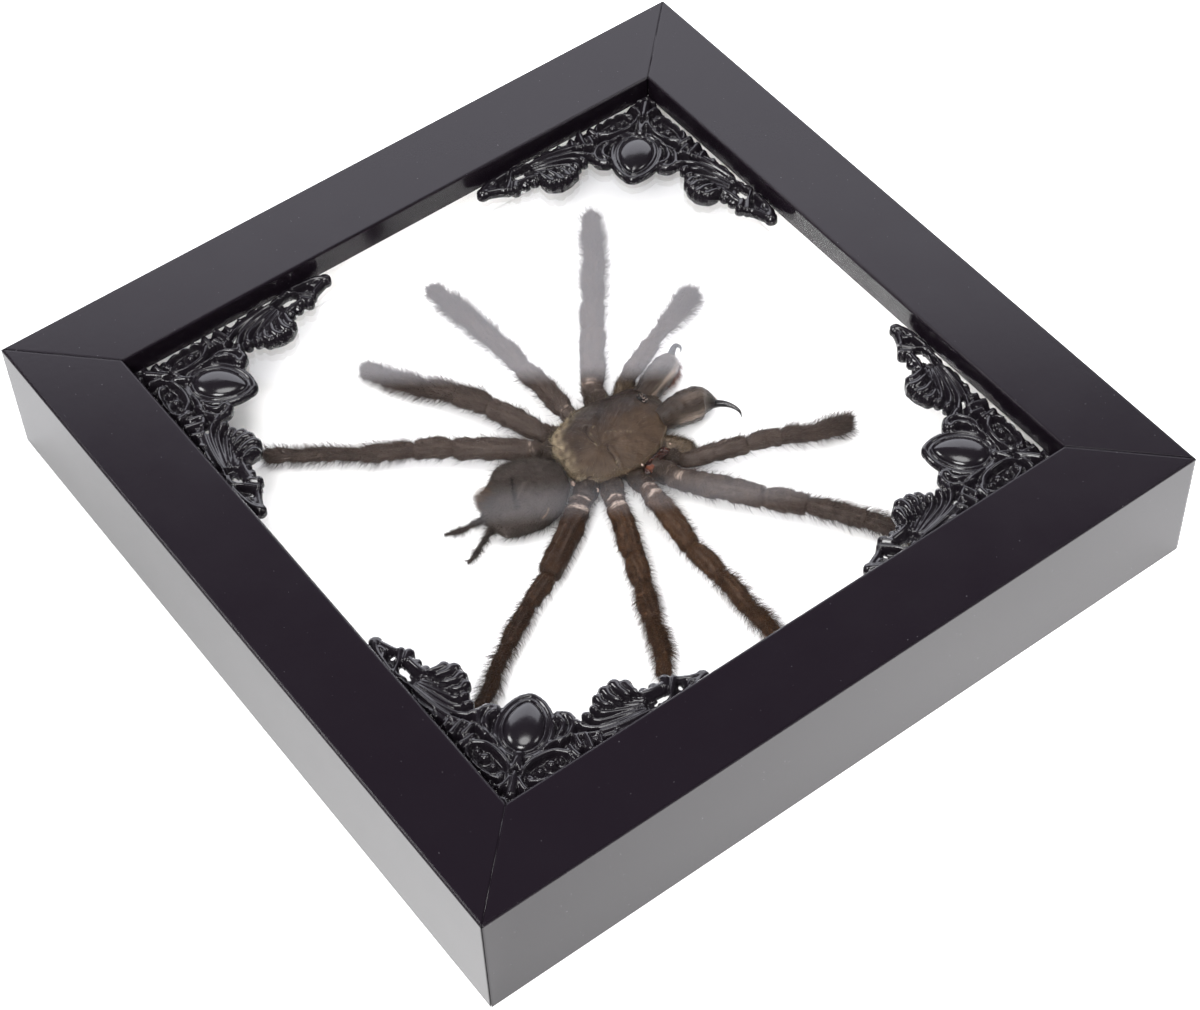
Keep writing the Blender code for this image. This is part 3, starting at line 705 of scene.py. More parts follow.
def blob(centre, half, seed, rough=0.12, turns=14):
    """A closed lumpy ellipsoid (mm)."""
    t = np.linspace(0.08, np.pi - 0.08, turns)[:, None]
    u = np.linspace(0, 2 * np.pi, 2 * turns, endpoint=False)[None]
    ball = np.stack([np.sin(t) * np.cos(u), np.sin(t) * np.sin(u), np.cos(t) + 0 * u], -1)
    ball = ball * (1 + rough * ripple(ball, 0.9, seed))[..., None]
    return grounded(ball * np.asarray(half) + np.asarray(centre))


# ---------------------------------------------------------------- hair

# Half widths of long hairs, and of short ones on the limbs and on the body (mm)
LONG_WIDTH, LIMB_SHORT_WIDTH, BODY_SHORT_WIDTH = 0.042, 0.038, 0.04
# Added to weights that are 0, so that any place may be picked
FAINT = 1e-6


def root_triangles(heading, rng):
    """Headings brought to length 1, and three directions across each."""
    heading = unit(heading)
    other = unit(np.cross(heading, rng.normal(size=heading.shape)))
    third = np.cross(heading, other)
    angle = np.arange(3) * 2 * np.pi / 3
    return heading, (other[:, None] * np.cos(angle)[None, :, None]
                     + third[:, None] * np.sin(angle)[None, :, None])


def spikes(roots, heading, length, thick, rng):
    """Straight hairs: each a closed spike of four faces on a small triangle."""
    heading, cross = root_triangles(heading, rng)
    tip = roots + heading * length[:, None]
    verts = np.concatenate([roots[:, None] + cross * thick, tip[:, None]], 1).reshape(-1, 3)
    one = np.array([(0, 2, 1), (0, 1, 3), (1, 2, 3), (2, 0, 3)])
    return verts, (np.arange(len(roots))[:, None, None] * 4 + one[None]).reshape(-1, 3)


def bristles(roots, heading, length, thick, bend, rng):
    """Long hairs bent once: a triangle at the root, one half way and a tip, closed."""
    heading, cross = root_triangles(heading, rng)
    middle = roots + (heading + 0.15 * bend) * (0.5 * length)[:, None]
    tip = roots + (heading + bend) * length[:, None]
    verts = np.concatenate([roots[:, None] + cross * thick, middle[:, None] + cross * (0.7 * thick),
                            tip[:, None]], 1).reshape(-1, 3)
    one = [(0, 2, 1)]
    for k in range(3):
        n = (k + 1) % 3
        one += [(k, n, 3 + n), (k, 3 + n, 3 + k), (3 + k, 3 + n, 6)]
    return verts, (np.arange(len(roots))[:, None, None] * 7 + np.array(one)[None]).reshape(-1, 3)


def hair_piece(name, sets, material, rng):
    """Short straight hairs and long bent ones as one piece, kept between the board and the glass; each
    hair has its own shade."""
    verts, tris, shade, start = [], [], [], 0
    for hairs, build, corners in zip(sets, (spikes, bristles), (4, 7)):
        v, t = build(*hairs, rng)
        verts.append(v)
        tris.append(t + start)
        shade.append(np.repeat(rng.uniform(0, 1, len(v) // corners), corners))
        start += len(v)
    verts = np.concatenate(verts)
    verts[:, 2] = np.clip(verts[:, 2], 0.06, (GLASS_UNDER - BOARD) / MM - 0.2)
    verts = verts * MM + np.array([0.0, 0.0, BOARD])
    shell = (verts, NO_QUADS, np.concatenate(tris))
    piece(name, shell, material, marks={"shade": np.concatenate(shade)})


def scatter(rings, count, rng, weight):
    """Random places on a surface of rings, more where weight is higher: places, and ring and column
    numbers."""
    cols = rings.shape[1]
    weight = np.broadcast_to(weight, rings.shape[:2])
    across = np.linalg.norm(np.roll(rings, -1, 1) - rings, axis=2)[:-1]
    down = np.linalg.norm(np.diff(rings, axis=0), axis=2)
    chance = (across * down * weight[:-1]).ravel()
    pick = rng.choice(len(chance), count, p=chance / chance.sum())
    i, j = pick // cols, pick % cols
    u, v = rng.uniform(0, 1, (2, count, 1))
    k = (j + 1) % cols
    low = rings[i, j] * (1 - u) + rings[i, k] * u
    high = rings[i + 1, j] * (1 - u) + rings[i + 1, k] * u
    return low * (1 - v) + high * v, i, j


# By part of a limb: length of the short hairs (mm), and how many of the long ones it has
SHORT_LENGTH = (0.7, 0.7, 0.8, 0.85, 1.0, 1.1, 0.9)
LONG_SHARE = (0.4, 0.4, 0.6, 0.9, 1.8, 2.4, 1.3)


def limb_hair(limb, count, extra, rng):
    """Hairs on a limb pointing outward and towards its end: short and close on the femur, longer
    beyond it, with long bristles mostly on the tibia and metatarsus. Bare joint skin has none."""
    part = limb["which"]
    clear = (1 - smooth(0.25, 0.6, limb["pale"])) * (limb["s"] > limb["stops"][1] * 0.7)[:, None]
    below = np.where(limb["normal"][..., 2] < -0.5, 0.4, 1.0)
    sets = []
    for number, long in ((count, False), (extra, True)):
        share = np.array(LONG_SHARE)[part][:, None] if long else 1.0
        growth, least, lean, stray, width = (
            ((1.2, 2.9), 0.3, (0.1, 0.95), 0.25, LONG_WIDTH) if long
            else ((0.55, 1.25), 0.12, (1.0, 2.6), 0.22, LIMB_SHORT_WIDTH))
        root, i, j = scatter(limb["rings"], number, rng, clear * below * share)
        normal, ahead = limb["normal"][i, j], limb["ahead"][i]
        length = np.array(SHORT_LENGTH)[part[i]] * rng.uniform(*growth, number) + least
        heading = normal + ahead * rng.uniform(*lean, number)[:, None] + rng.normal(size=(number, 3)) * stray
        hairs = [root - normal * 0.12, heading, length, width]
        if long:
            hairs.append(ahead * 0.3 + rng.normal(size=(number, 3)) * 0.12)
        sets.append(hairs)
    return sets


def ring_normals(rings):
    """Outward directions on a surface of rings, away from its own middle."""
    across = np.roll(rings, -1, 1) - np.roll(rings, 1, 1)
    down = np.gradient(rings, axis=0)
    normal = unit(np.cross(across, down))
    flip = np.sign(np.einsum("ijk,ijk->ij", normal, rings - rings.reshape(-1, 3).mean(0)))
    return normal * np.where(flip == 0, 1, flip)[..., None]


def steady(*direction):
    """A flow that is the same everywhere."""
    return lambda places: np.array(direction) + 0 * places


def coat(name, rings, look, rng, count, extra, flow, length, lean, long_length, weight=1.0):
    """Short and long hair on a body part as one piece, lying along flow (a direction for each place)."""
    normals = ring_normals(rings)
    sets = []
    for number, long in ((count, False), (extra, True)):
        root, i, j = scatter(rings, number, rng, weight)
        normal = normals[i, j]
        along = flow(root)
        along = unit(along - normal * np.einsum("ij,ij->i", along, normal)[:, None])
        tilt = lean * (rng.uniform(0.3, 1.0, number) if long else rng.uniform(0.7, 1.6, number))
        heading = normal + along * tilt[:, None] + rng.normal(size=(number, 3)) * 0.22
        size = (long_length if long else length) * rng.uniform(0.6, 1.3, number)
        hairs = [root - normal * 0.1, heading, size, LONG_WIDTH if long else BODY_SHORT_WIDTH]
        if long:
            hairs.append(along * 0.3 + rng.normal(size=(number, 3)) * 0.12)
        sets.append(hairs)
    hair_piece(name, sets, look, rng)


# ---------------------------------------------------------------- corner ornaments

# One arm of the casting, the other is its mirror image about the diagonal. Millimetres along the
# rail (a) and away from it (b), from the corner of the opening. Each ridge is a path of (a, b) points
# with its half width at either end and how far it is lifted.
RIDGES = (
    # shell beside the stone
    (((19.6, 7.8), (22.8, 8.6), (25.3, 10.4), (25.6, 12.8), (24.2, 14.2)), 0.6, 1.0, 0.6),
    (((20.2, 9.6), (22.3, 10.3), (23.6, 11.8), (23.4, 13.6)), 0.6, 0.9, 0.9),
    # long leaf: fine ribs swept back from its far end
    (((41.5, 2.4), (35.5, 3.0), (29.5, 4.4), (24.2, 7.0)), 0.55, 0.8, 1.0),
    (((40.4, 3.2), (34.0, 4.5), (29.0, 6.2), (26.6, 8.4)), 0.5, 0.7, 0.7),
    (((40.4, 3.9), (35.2, 5.5), (31.0, 7.1), (29.0, 9.0)), 0.5, 0.62, 0.65),
    (((40.6, 4.6), (36.2, 6.5), (33.0, 8.2), (31.6, 9.4)), 0.5, 0.6, 0.6),
    (((40.9, 5.2), (38.0, 7.0), (35.4, 8.4), (34.2, 9.4)), 0.5, 0.55, 0.5),
    (((41.1, 5.8), (39.4, 7.4), (37.6, 8.8)), 0.5, 0.55, 0.5),
    (((41.6, 5.4), (41.0, 7.0), (40.4, 8.4)), 0.5, 0.55, 0.5),
    # round lobes at its edge
    (((26.6, 8.8), (25.9, 10.2)), 0.8, 0.85, 0.8),
    (((28.9, 9.2), (28.7, 10.2)), 0.9, 0.95, 0.9),
    (((31.3, 9.8), (31.2, 10.8)), 0.85, 0.9, 0.8),
    (((34.4, 8.8), (33.2, 10.8), (33.4, 12.3)), 0.7, 1.15, 0.8),
    (((36.6, 8.2), (35.5, 10.8), (35.7, 12.7)), 0.75, 1.4, 1.0),
    (((38.9, 8.0), (38.1, 10.8), (38.2, 12.7)), 0.8, 1.5, 1.1),
    (((40.9, 7.6), (40.3, 10.0), (40.2, 11.4)), 0.75, 1.4, 0.9),
    (((32.4, 11.6), (33.6, 13.1), (36.4, 13.9), (39.2, 13.5), (41.0, 12.0), (41.4, 9.8)), 0.45, 0.5, 0.1),
    # stem along the rail
    (((19.8, 6.0), (24.8, 4.6), (30.0, 2.9), (36.5, 1.5), (43.0, 1.0)), 0.7, 0.6, 0.7),
    # tail past the fan
    (((41.2, 7.5), (43.2, 6.8), (45.2, 6.5), (47.2, 6.3)), 0.9, 1.0, 0.7),
    (((42.0, 6.0), (44.2, 5.6), (46.6, 5.3)), 0.5, 0.5, 0.4),
    (((42.8, 2.6), (45.4, 2.0), (47.4, 4.0), (50.0, 6.4)), 0.55, 0.8, 0.9),
    (((46.6, 5.2), (47.6, 6.4), (48.2, 7.4)), 0.6, 1.1, 0.8),
    (((41.0, 2.3), (45.0, 1.4), (49.0, 1.4), (53.0, 1.9), (55.2, 2.8)), 0.8, 1.0, 0.6),
    (((49.4, 6.9), (51.2, 5.4), (53.6, 4.2), (55.4, 3.6)), 0.8, 0.8, 0.5),
    (((50.8, 2.4), (52.0, 3.5), (53.6, 3.2)), 0.5, 0.55, 0.8),
    # pod with its seeds between the corner and the leaf
    (((7.8, 5.8), (10.4, 7.5), (13.8, 7.8), (17.6, 7.0), (19.8, 4.8)), 0.6, 0.8, 1.0),
    (((8.6, 4.2), (11.2, 2.6), (15.0, 1.8), (18.4, 2.2), (19.9, 3.8)), 0.6, 0.65, 0.8),
    (((16.0, 8.9), (18.6, 9.0), (21.6, 8.3)), 0.5, 0.6, 1.1),
    (((21.2, 6.4), (20.8, 4.8), (20.9, 2.6)), 0.6, 1.0, 0.9),
    (((23.6, 7.8), (23.2, 6.2), (22.8, 4.4)), 0.55, 0.95, 1.0),
    (((25.6, 6.4), (25.0, 4.4), (24.2, 2.2)), 0.55, 1.05, 1.1),
    (((28.4, 5.0), (27.6, 3.6), (26.8, 1.8)), 0.5, 0.85, 0.9),
    (((32.6, 3.6), (31.2, 2.4), (30.2, 1.2)), 0.45, 0.75, 0.8),
    # leaves at the very corner and towards the stone
    (((8.6, 7.6), (10.2, 9.8), (10.9, 11.4)), 0.6, 0.75, 1.0),
    (((7.6, 7.6), (5.6, 5.6), (3.4, 3.6)), 0.8, 1.1, 1.1),
    (((7.4, 6.0), (6.8, 4.0), (6.8, 1.8)), 0.6, 0.95, 0.9),
    (((5.0, 1.0), (3.6, 1.6), (1.8, 1.6)), 0.6, 0.8, 0.7),
)
# Beads: place and radius
BEADS = ((55.6, 3.2, 1.6), (48.3, 7.1, 1.35), (9.4, 4.9, 1.05), (15.3, 4.9, 1.3), (12.2, 4.9, 1.0),
         (17.6, 4.6, 0.8), (45.0, 7.3, 1.3), (42.6, 7.9, 1.1), (9.6, 1.7, 0.9), (4.4, 9.6, 0.9),
         (23.6, 2.0, 0.7))
# Low ground between the ridges: path and half width at either end
WEBS = (
    (((2.6, 2.6), (6.2, 6.2), (9.6, 9.6)), 3.4, 3.0),
    (((5.0, 4.4), (10.0, 4.8), (15.0, 4.6), (19.5, 4.6)), 3.4, 3.6),
    (((9.0, 8.4), (14.0, 8.6), (19.0, 7.6)), 1.6, 2.2),
    (((18.8, 8.0), (22.5, 9.4), (23.8, 11.8)), 2.4, 2.0),
    (((19.4, 4.0), (24.0, 4.0), (30.0, 3.4), (36.0, 2.6), (42.0, 1.8)), 3.2, 1.3),
    (((22.0, 7.2), (27.0, 7.2), (32.0, 7.2), (37.0, 9.2)), 2.2, 4.4),
    (((41.0, 2.0), (46.0, 1.6), (50.5, 3.6), (55.0, 3.0)), 1.2, 1.3),
    (((41.0, 7.2), (44.5, 6.6), (47.5, 6.2)), 1.1, 1.3),
    (((47.6, 4.4), (48.8, 5.8)), 1.6, 1.8),
    (((44.5, 6.3), (47.0, 6.2), (49.0, 5.8)), 1.2, 1.6),
    (((40.8, 5.4), (42.4, 6.4)), 1.4, 1.3),
    (((41.0, 4.2), (43.2, 4.6)), 1.6, 0.8),
    (((33.6, 11.2), (37.0, 12.0), (40.0, 10.6)), 1.9, 1.9),
    (((1.2, 1.4), (6.0, 2.0)), 1.1, 0.9),
    (((36.0, 1.9), (51.0, 2.0)), 0.8, 0.8),
)
# Openings through the casting: path and half width at either end
OPENINGS = (
    (((43.0, 3.9), (44.4, 3.9), (45.8, 3.8)), 0.3, 0.75),
    (((46.0, 3.4), (46.5, 4.1)), 0.5, 0.5),
    (((11.6, 0.5), (14.0, 0.5)), 0.7, 0.6),
    (((30.8, 0.8), (34.2, 0.7)), 0.9, 0.6),
    (((26.6, 6.5), (28.4, 5.5)), 0.5, 0.5),
    (((50.1, 4.0), (50.2, 4.5)), 0.4, 0.4),
)
# The stone's middle along both rails and its half sizes, the relief's grid cell, and how much wider
# than written the ridges are
STONE = (16.6, 6.3, 4.4)
CELL = 0.18
FULLNESS = 1.22


def stone_edge(grow, count=120):
    """The stone's egg: pointed towards the middle of the frame, blunt towards the corner."""
    t = np.linspace(0.0, 2 * np.pi, count)
    u = STONE[0] * math.sqrt(2) + (STONE[1] + grow) * np.cos(t)
    v = (STONE[2] + grow) * np.sin(t) * np.sin(t / 2) ** 0.3 / 0.93
    return np.stack([(u - v) / math.sqrt(2), (u + v) / math.sqrt(2)], -1)


def carve(height, edge, path, radius, lift, rise, axis):
    """Raise the relief along a path: height is lift + rise sqrt(1 - (distance / radius)^2)."""
    margin = radius.max() + 3 * CELL
    low = np.maximum(((path.min(0) - margin - axis[0]) / CELL).astype(int), 0)
    high = ((path.max(0) + margin - axis[0]) / CELL).astype(int) + 2
    box = (slice(low[0], high[0]), slice(low[1], high[1]))
    a, b = np.meshgrid(axis[box[0]], axis[box[1]], indexing="ij")
    inside = np.full(a.shape, -9.0)
    best = np.zeros(a.shape)
    for (x, y), r in zip(path, radius):
        gap = r - np.hypot(a - x, b - y)
        best = np.where(gap > inside, r, best)
        inside = np.maximum(gap, inside)
    away = np.clip((best - inside) / np.maximum(best, 0.01), 0, 1)
    top = np.where(inside > 0, lift + rise * np.sqrt(1 - away ** 2), 0.0)
    height[box] = np.maximum(height[box], top)
    edge[box] = np.maximum(edge[box], inside)


def softened(grid):
    """A grid blurred once with weights 1 2 1 each way."""
    for way_round in (0, 1):
        grid = 0.5 * grid + 0.25 * (np.roll(grid, 1, way_round) + np.roll(grid, -1, way_round))
    return grid


def rail_side(a):
    """How far the casting's scalloped outer edge stands off the rail at a place along the arm (mm)."""
    return (1.9 * smooth(3.0, 7.0, a) - 1.0 * smooth(38.0, 47.0, a)
            - 0.6 * smooth(4.0, 8.0, a) * np.abs(np.sin(np.pi * a / 3.3))
            - 0.8 * bump(a, 20.5, 2.2) - 0.7 * bump(a, 35.5, 2.4))


def ornament_relief():
    """The casting's relief on a square grid: heights, and distance in from its outline."""
    axis = np.arange(-0.6, 59.0, CELL)
    height = np.zeros((len(axis), len(axis)))
    edge = np.full(height.shape, -9.0)
    rng = np.random.default_rng(3)
    for flip in (False, True):
        def laid(points):
            points = np.asarray(points, float) + rng.uniform(-0.12, 0.12, (len(points), 2)) * flip
            return points[:, ::-1] if flip else points
        for points, r0, r1 in WEBS:
            path = way(laid(points))
            carve(height, edge, path, np.linspace(r0, r1, len(path)), 0.4, 0.2, axis)
        for points, r0, r1, lift in RIDGES:
            path = way(laid(points), 60)
            along = np.linspace(0, 1, len(path))
            swell = FULLNESS * np.linspace(r0, r1, len(path)) * (0.55 + 0.45 * smooth(0, 0.25, along))
            carve(height, edge, path, swell, 0.1 + 1.15 * lift, 0.7 + FULLNESS * max(r0, r1), axis)
        for x, y, r in BEADS:
            path = laid([(x, y), (x + 0.01, y)])
            carve(height, edge, path, np.full(2, r), 1.0, 0.35 + 0.8 * r, axis)
    for grow, r, lift, rise in ((0.6, 0.5, 1.3, 0.6), (2.0, 0.75, 0.9, 0.95), (1.3, 0.8, 0.9, 0.2)):
        path = stone_edge(grow)
        carve(height, edge, path, np.full(len(path), r), lift, rise, axis)
    path = way([(11.0, 11.0), (21.0, 21.0)])
    carve(height, edge, path, np.linspace(3.6, 3.0, len(path)), 0.8, 0.1, axis)
    a, b = np.meshgrid(axis, axis, indexing="ij")
    for _ in range(3):
        solid = (edge > 0).astype(float)
        height = softened(height * solid) / np.maximum(softened(solid), 0.05) * solid
    for points, r0, r1 in OPENINGS:
        path = way(points, 30)
        radius = np.linspace(r0, r1, len(path))
        for x, y in ((a, b), (b, a)):
            for (px, py), r in zip(path, radius):
                edge = np.minimum(edge, np.hypot(x - px, y - py) - r)
    for x, y in ((a, b), (b, a)):
        clear = y - rail_side(x)
        height = height * (0.6 + 0.4 * smooth(0.0, 0.7, clear))
        edge = np.minimum(edge, clear)
    return axis, height, edge


def ornament_shell():
    """The relief as a closed casting: the outline's cells are drawn to where the edge distance is 0,
    a flat back is put under the front and walls join the two."""
    axis, height, edge = ornament_relief()
    inside = edge > 0
    cells = inside[:-1, :-1] | inside[1:, :-1] | inside[:-1, 1:] | inside[1:, 1:]
    a, b = np.meshgrid(axis, axis, indexing="ij")
    ga, gb = np.gradient(edge, CELL)
    steep = np.maximum(ga ** 2 + gb ** 2, 0.25)
    pull = np.clip(np.where(inside, 0.0, -edge), 0, 1.2 * CELL) / steep
    a, b = a + ga * pull, b + gb * pull
    top = np.where(inside, np.maximum(height, 0.4), 0.4)
    used = np.zeros(inside.shape, bool)
    for di, dj in ((0, 0), (0, 1), (1, 0), (1, 1)):
        used[di:di + cells.shape[0], dj:dj + cells.shape[1]] |= cells
    count = used.sum()
    number = np.full(used.shape, -1)
    number[used] = np.arange(count)
    front = np.stack([a[used], b[used], top[used]], -1)
    back = np.stack([a[used], b[used], 0 * top[used]], -1)
    i, j = np.nonzero(cells)
    quad = np.stack([number[i, j], number[i + 1, j], number[i + 1, j + 1], number[i, j + 1]], -1)
    grid = np.pad(cells, 1)
    walls = []
    for di, dj, p, q in ((0, -1, (0, 0), (1, 0)), (1, 0, (1, 0), (1, 1)), (0, 1, (1, 1), (0, 1)),
                         (-1, 0, (0, 1), (0, 0))):
        open_side = ~grid[i + 1 + di, j + 1 + dj]
        u = number[i[open_side] + p[0], j[open_side] + p[1]]
        v = number[i[open_side] + q[0], j[open_side] + q[1]]
        walls.append(np.stack([u + count, v + count, v, u], -1))
    quads = np.concatenate([quad, quad[:, ::-1] + count, *walls])
    return np.concatenate([front, back]), quads, NO_TRIS


def stone_shell():
    """The domed stone: rings of the egg outline shrinking to its top, closed below."""
    edge = stone_edge(0.25, 97)[:-1]
    middle = np.array([STONE[0] - 0.3, STONE[0] - 0.3])
    rings = [np.column_stack([middle + (edge - middle) * 0.97, np.full(len(edge), 0.5)])]
    for t in np.linspace(0.0, 0.5 * np.pi, 26)[:-1]:
        rings.append(np.column_stack([middle + (edge - middle) * math.cos(t),
                                      np.full(len(edge), 1.2 + 1.9 * math.sin(t) ** 0.9)]))
    return tube(np.array(rings))


def build_ornaments(material):
    """The four castings lying on the glass, each with its stone."""
    casting, stone = ornament_shell(), stone_shell()
    sight = GLASS_HALF - LIP
    turns = (("bottom_left", 1, 0), ("bottom_right", 0, 1), ("top_right", -1, 0), ("top_left", 0, -1))
    for corner, c, d in turns:
        for kind, (verts, quads, tris) in (("casting", casting), ("stone", stone)):
            x, y = verts[:, 0] * MM - sight, verts[:, 1] * MM - sight
            put = np.stack([c * x - d * y, d * x + c * y, verts[:, 2] * MM + GLASS_TOP + 0.1 * MM], -1)
            piece(f"ornament_{corner}_{kind}", (put, quads, tris), material,
                  (f"corner_ornament_{corner}",))


# ---------------------------------------------------------------- assembling

# Each kind of leg: its cuticle dark, light and bare, then its hair dark and light
LEG_COLOURS = {
    "grey": ("#312723", "#453a33", "#9a897c", "#28201c", "#564841"),
    "warm": ("#2a190e", "#3e2917", "#a29286", "#201209", "#4e341f"),
    "dark": ("#20130c", "#311f11", "#a29286", "#170d08", "#3e2918"),
}
LEG_KINDS = {"leg_2_right": "warm", "leg_3_right": "warm", "leg_4_right": "dark"}
# Each jaw: its route, its side and up radii along it, and the fang's route (mm above the board)
JAWS = {
    "right": (((5.2, 18.0, 5.4), (5.4, 22.5, 5.4), (5.7, 26.6, 5.2), (6.3, 30.2, 4.8), (8.6, 33.2, 4.4)),
              (2.8, 3.8, 4.3, 3.9, 0.9), (2.9, 3.7, 4.1, 3.7, 0.9),
              ((8.0, 32.2, 4.3), (10.1, 34.1, 4.8), (12.1, 35.3, 4.9), (14.2, 35.9, 4.5), (16.1, 35.3, 4.0))),
    "left": (((-3.2, 19.0, 5.2), (-4.8, 23, 5.2), (-6.8, 28, 5.0), (-8.6, 32.0, 4.6), (-9.4, 34.0, 4.4)),
             (2.6, 3.2, 3.6, 2.8, 0.4), (3.0, 3.5, 3.7, 3.0, 0.4),
             ((-9.9, 33.2, 4.2), (-11.6, 35.2, 4.4), (-12.4, 36.8, 4.4), (-11.4, 37.5, 4.2),
              (-10.0, 36.6, 4.0))),
}
FANG_RADIUS = (1.05, 0.85, 0.6, 0.38, 0.05)
SPINNERETS = {
    "left": ((2.3, -31.5, 3.6), (2.1, -34.4, 3.2), (1.9, -37.2, 3.1), (1.4, -39.2, 2.9), (0.0, -42.0, 2.6)),
    "right": ((6.0, -31.5, 3.6), (7.2, -34.8, 3.2), (8.7, -37.8, 3.1), (9.6, -39.6, 2.9), (10.3, -42.4, 2.6)),
}
# The eyes' tubercle: half sizes. Each eye: its place on it and its radius (mm), the two smallest last
TUBERCLE = (1.7, 1.2, 0.8)
EYE_SEATS = ((-0.4, 0.2, 0.3), (0.4, 0.2, 0.3), (-1.05, 0.5, 0.27), (1.05, 0.5, 0.27),
             (-1.15, -0.3, 0.26), (1.15, -0.3, 0.26), (-0.66, -0.55, 0.2), (0.66, -0.55, 0.2))
# Dried skin between the right limbs, a sheet and three ridges: route, side and up radii, roughness
MEMBRANES = (
    (((16.4, 5.6, 5.0), (15.2, 8.2, 5.4), (14.6, 10.6, 5.4), (13.6, 13.4, 5.4), (12.4, 16.2, 5.3),
      (11.8, 18.0, 4.8)), (0.3, 1.5, 0.8, 1.1, 1.3, 0.3), (0.2, 0.45, 0.35, 0.4, 0.4, 0.2), 0.22),
    (((14.2, 7.2, 5.8), (14.0, 9.4, 6.0), (13.7, 11.4, 6.0), (13.0, 13.6, 6.0)),
     (0.12, 0.3, 0.2, 0.12), (0.12, 0.25, 0.2, 0.12), 0.08),
    (((13.2, 12.6, 5.9), (14.2, 13.4, 5.6), (15.2, 13.6, 5.0)), (0.15, 0.35, 0.12), (0.12, 0.25, 0.12), 0.08),
    (((12.2, 14.8, 6.0), (11.8, 16.2, 6.0), (11.0, 17.6, 5.6)), (0.15, 0.4, 0.15), (0.12, 0.3, 0.12), 0.1),
)
# Specks of pale joint skin: middle and half sizes
PALE_SKIN = (
    ((14.0, 6.3, 6.0), (0.4, 0.22, 0.2)), ((13.2, 15.4, 6.3), (0.25, 0.15, 0.15)),
    ((12.2, -6.2, 4.3), (0.9, 0.5, 0.5)), ((7.4, -9.4, 4.2), (0.9, 0.5, 0.5)),
)
# Each palp's coxa: route, side and up radii, seed
MAXILLAE = {
    "right": (((10.4, 14.6, 4.4), (13.7, 16.9, 4.2), (16.5, 18.5, 4.2), (17.9, 19.6, 4.0)),
              (2.0, 2.6, 2.4, 0.5), (2.0, 2.3, 2.1, 0.5), 61),
    "left": (((-6.5, 15.0, 4.2), (-8.6, 17.6, 4.0), (-10.4, 19.8, 4.0), (-11.2, 20.8, 3.8)),
             (1.8, 2.2, 2.0, 0.5), (1.8, 2.0, 1.9, 0.5), 62),
}


def build_limbs(rng):
    """Skin and hair of the palps and legs."""
    looks = {}
    for kind, (dark, light, bare, root, tip) in LEG_COLOURS.items():
        skin = cuticle(f"{kind}_brown_leg_cuticle", dark, light, bare, 0.46, "#261d16", shine=0.16)
        looks[kind] = skin, hair(f"{kind}_brown_leg_hair", root, tip)
    for name, spec in LIMBS.items():
        skin, fur = looks[LEG_KINDS.get(name, "grey")]
        limb = limb_rings(name, spec)
        piece(name + "_skin", grounded(limb["rings"]), skin, (name,), limb["marks"])
        count, extra = (6500, 1300) if name.startswith("palp") else (10500, 2600)
        hair_piece(name + "_hair", limb_hair(limb, count, extra, rng), fur, rng)


def build_prosoma(down, rng):
    """Carapace and sternum in one skin, with dark down all over and pale down at the rear of the rim."""
    skin = cuticle("silky_carapace_cuticle", "#291e15", "#433427", "#83765f", 0.38, "#1b110b", 0.2, 0.2)
    shell, marks, rings = prosoma_shell()
    piece("prosoma_skin", shell, skin, ("prosoma",), marks)
    rows = np.arange(len(rings))[:, None]
    turns = np.linspace(0, 2 * np.pi, rings.shape[1], endpoint=False)
    centre = np.array([*FOVEA, 8.0])

    def outward(places):
        return places - centre

    weight = 0.22 * (1 - smooth(74, 77, rows)) + smooth(40, 56, rows) * (1 - smooth(78, 82, rows))
    coat("prosoma_hair", rings, down, rng, 8000, 260, outward, 0.95, 3.6, 1.5, weight)
    rear = bump(from_heading(turns, 250), 0.0, 0.8)
    weight = smooth(46, 62, rows) * (1 - smooth(76, 79, rows)) * rear[None] + FAINT
    rim_hair = hair("pale_rim_hair", "#5d5140", "#a3957b")
    coat("prosoma_rim_hair", rings, rim_hair, rng, 1900, 260, outward, 0.9, 1.6, 1.5, weight)


def build_abdomen(rng):
    """The abdomen's skin, its velvet, thicker above the spinnerets, and a brown tuft."""
    skin = cuticle("velvet_abdomen_skin", "#352e2a", "#443c38", "#a08670", 0.6, "#120e0c", 0.1)
    shell, marks, rings = abdomen_shell()
    piece("abdomen_skin", shell, skin, ("abdomen",), marks)
    x, y, z = np.moveaxis(rings, -1, 0)
    rows = np.arange(len(rings))[:, None]
    tail = 1 + 6 * mound(x, y, (1.5, -31.0), (3.5, 3.0))
    velvet = hair("abdomen_velvet_hair", "#28211e", "#49413a")
    coat("abdomen_hair", rings, velvet, rng, 19000, 1500, steady(-0.15, -1.0, -0.25),
         0.9, 1.3, 2.0, np.where(rows < 72, 1.0, 0.25) * tail ** 0.4)
    tuft = hair("brown_tuft_hair", "#2e2015", "#634a33")
    coat("abdomen_tuft", rings, tuft, rng, 260, 520, steady(-0.75, -0.65, 0.1),
         1.0, 0.9, 2.5, mound(x, y, (-1.2, -30.2), (1.9, 2.2)) * (z > 2.5) + FAINT)


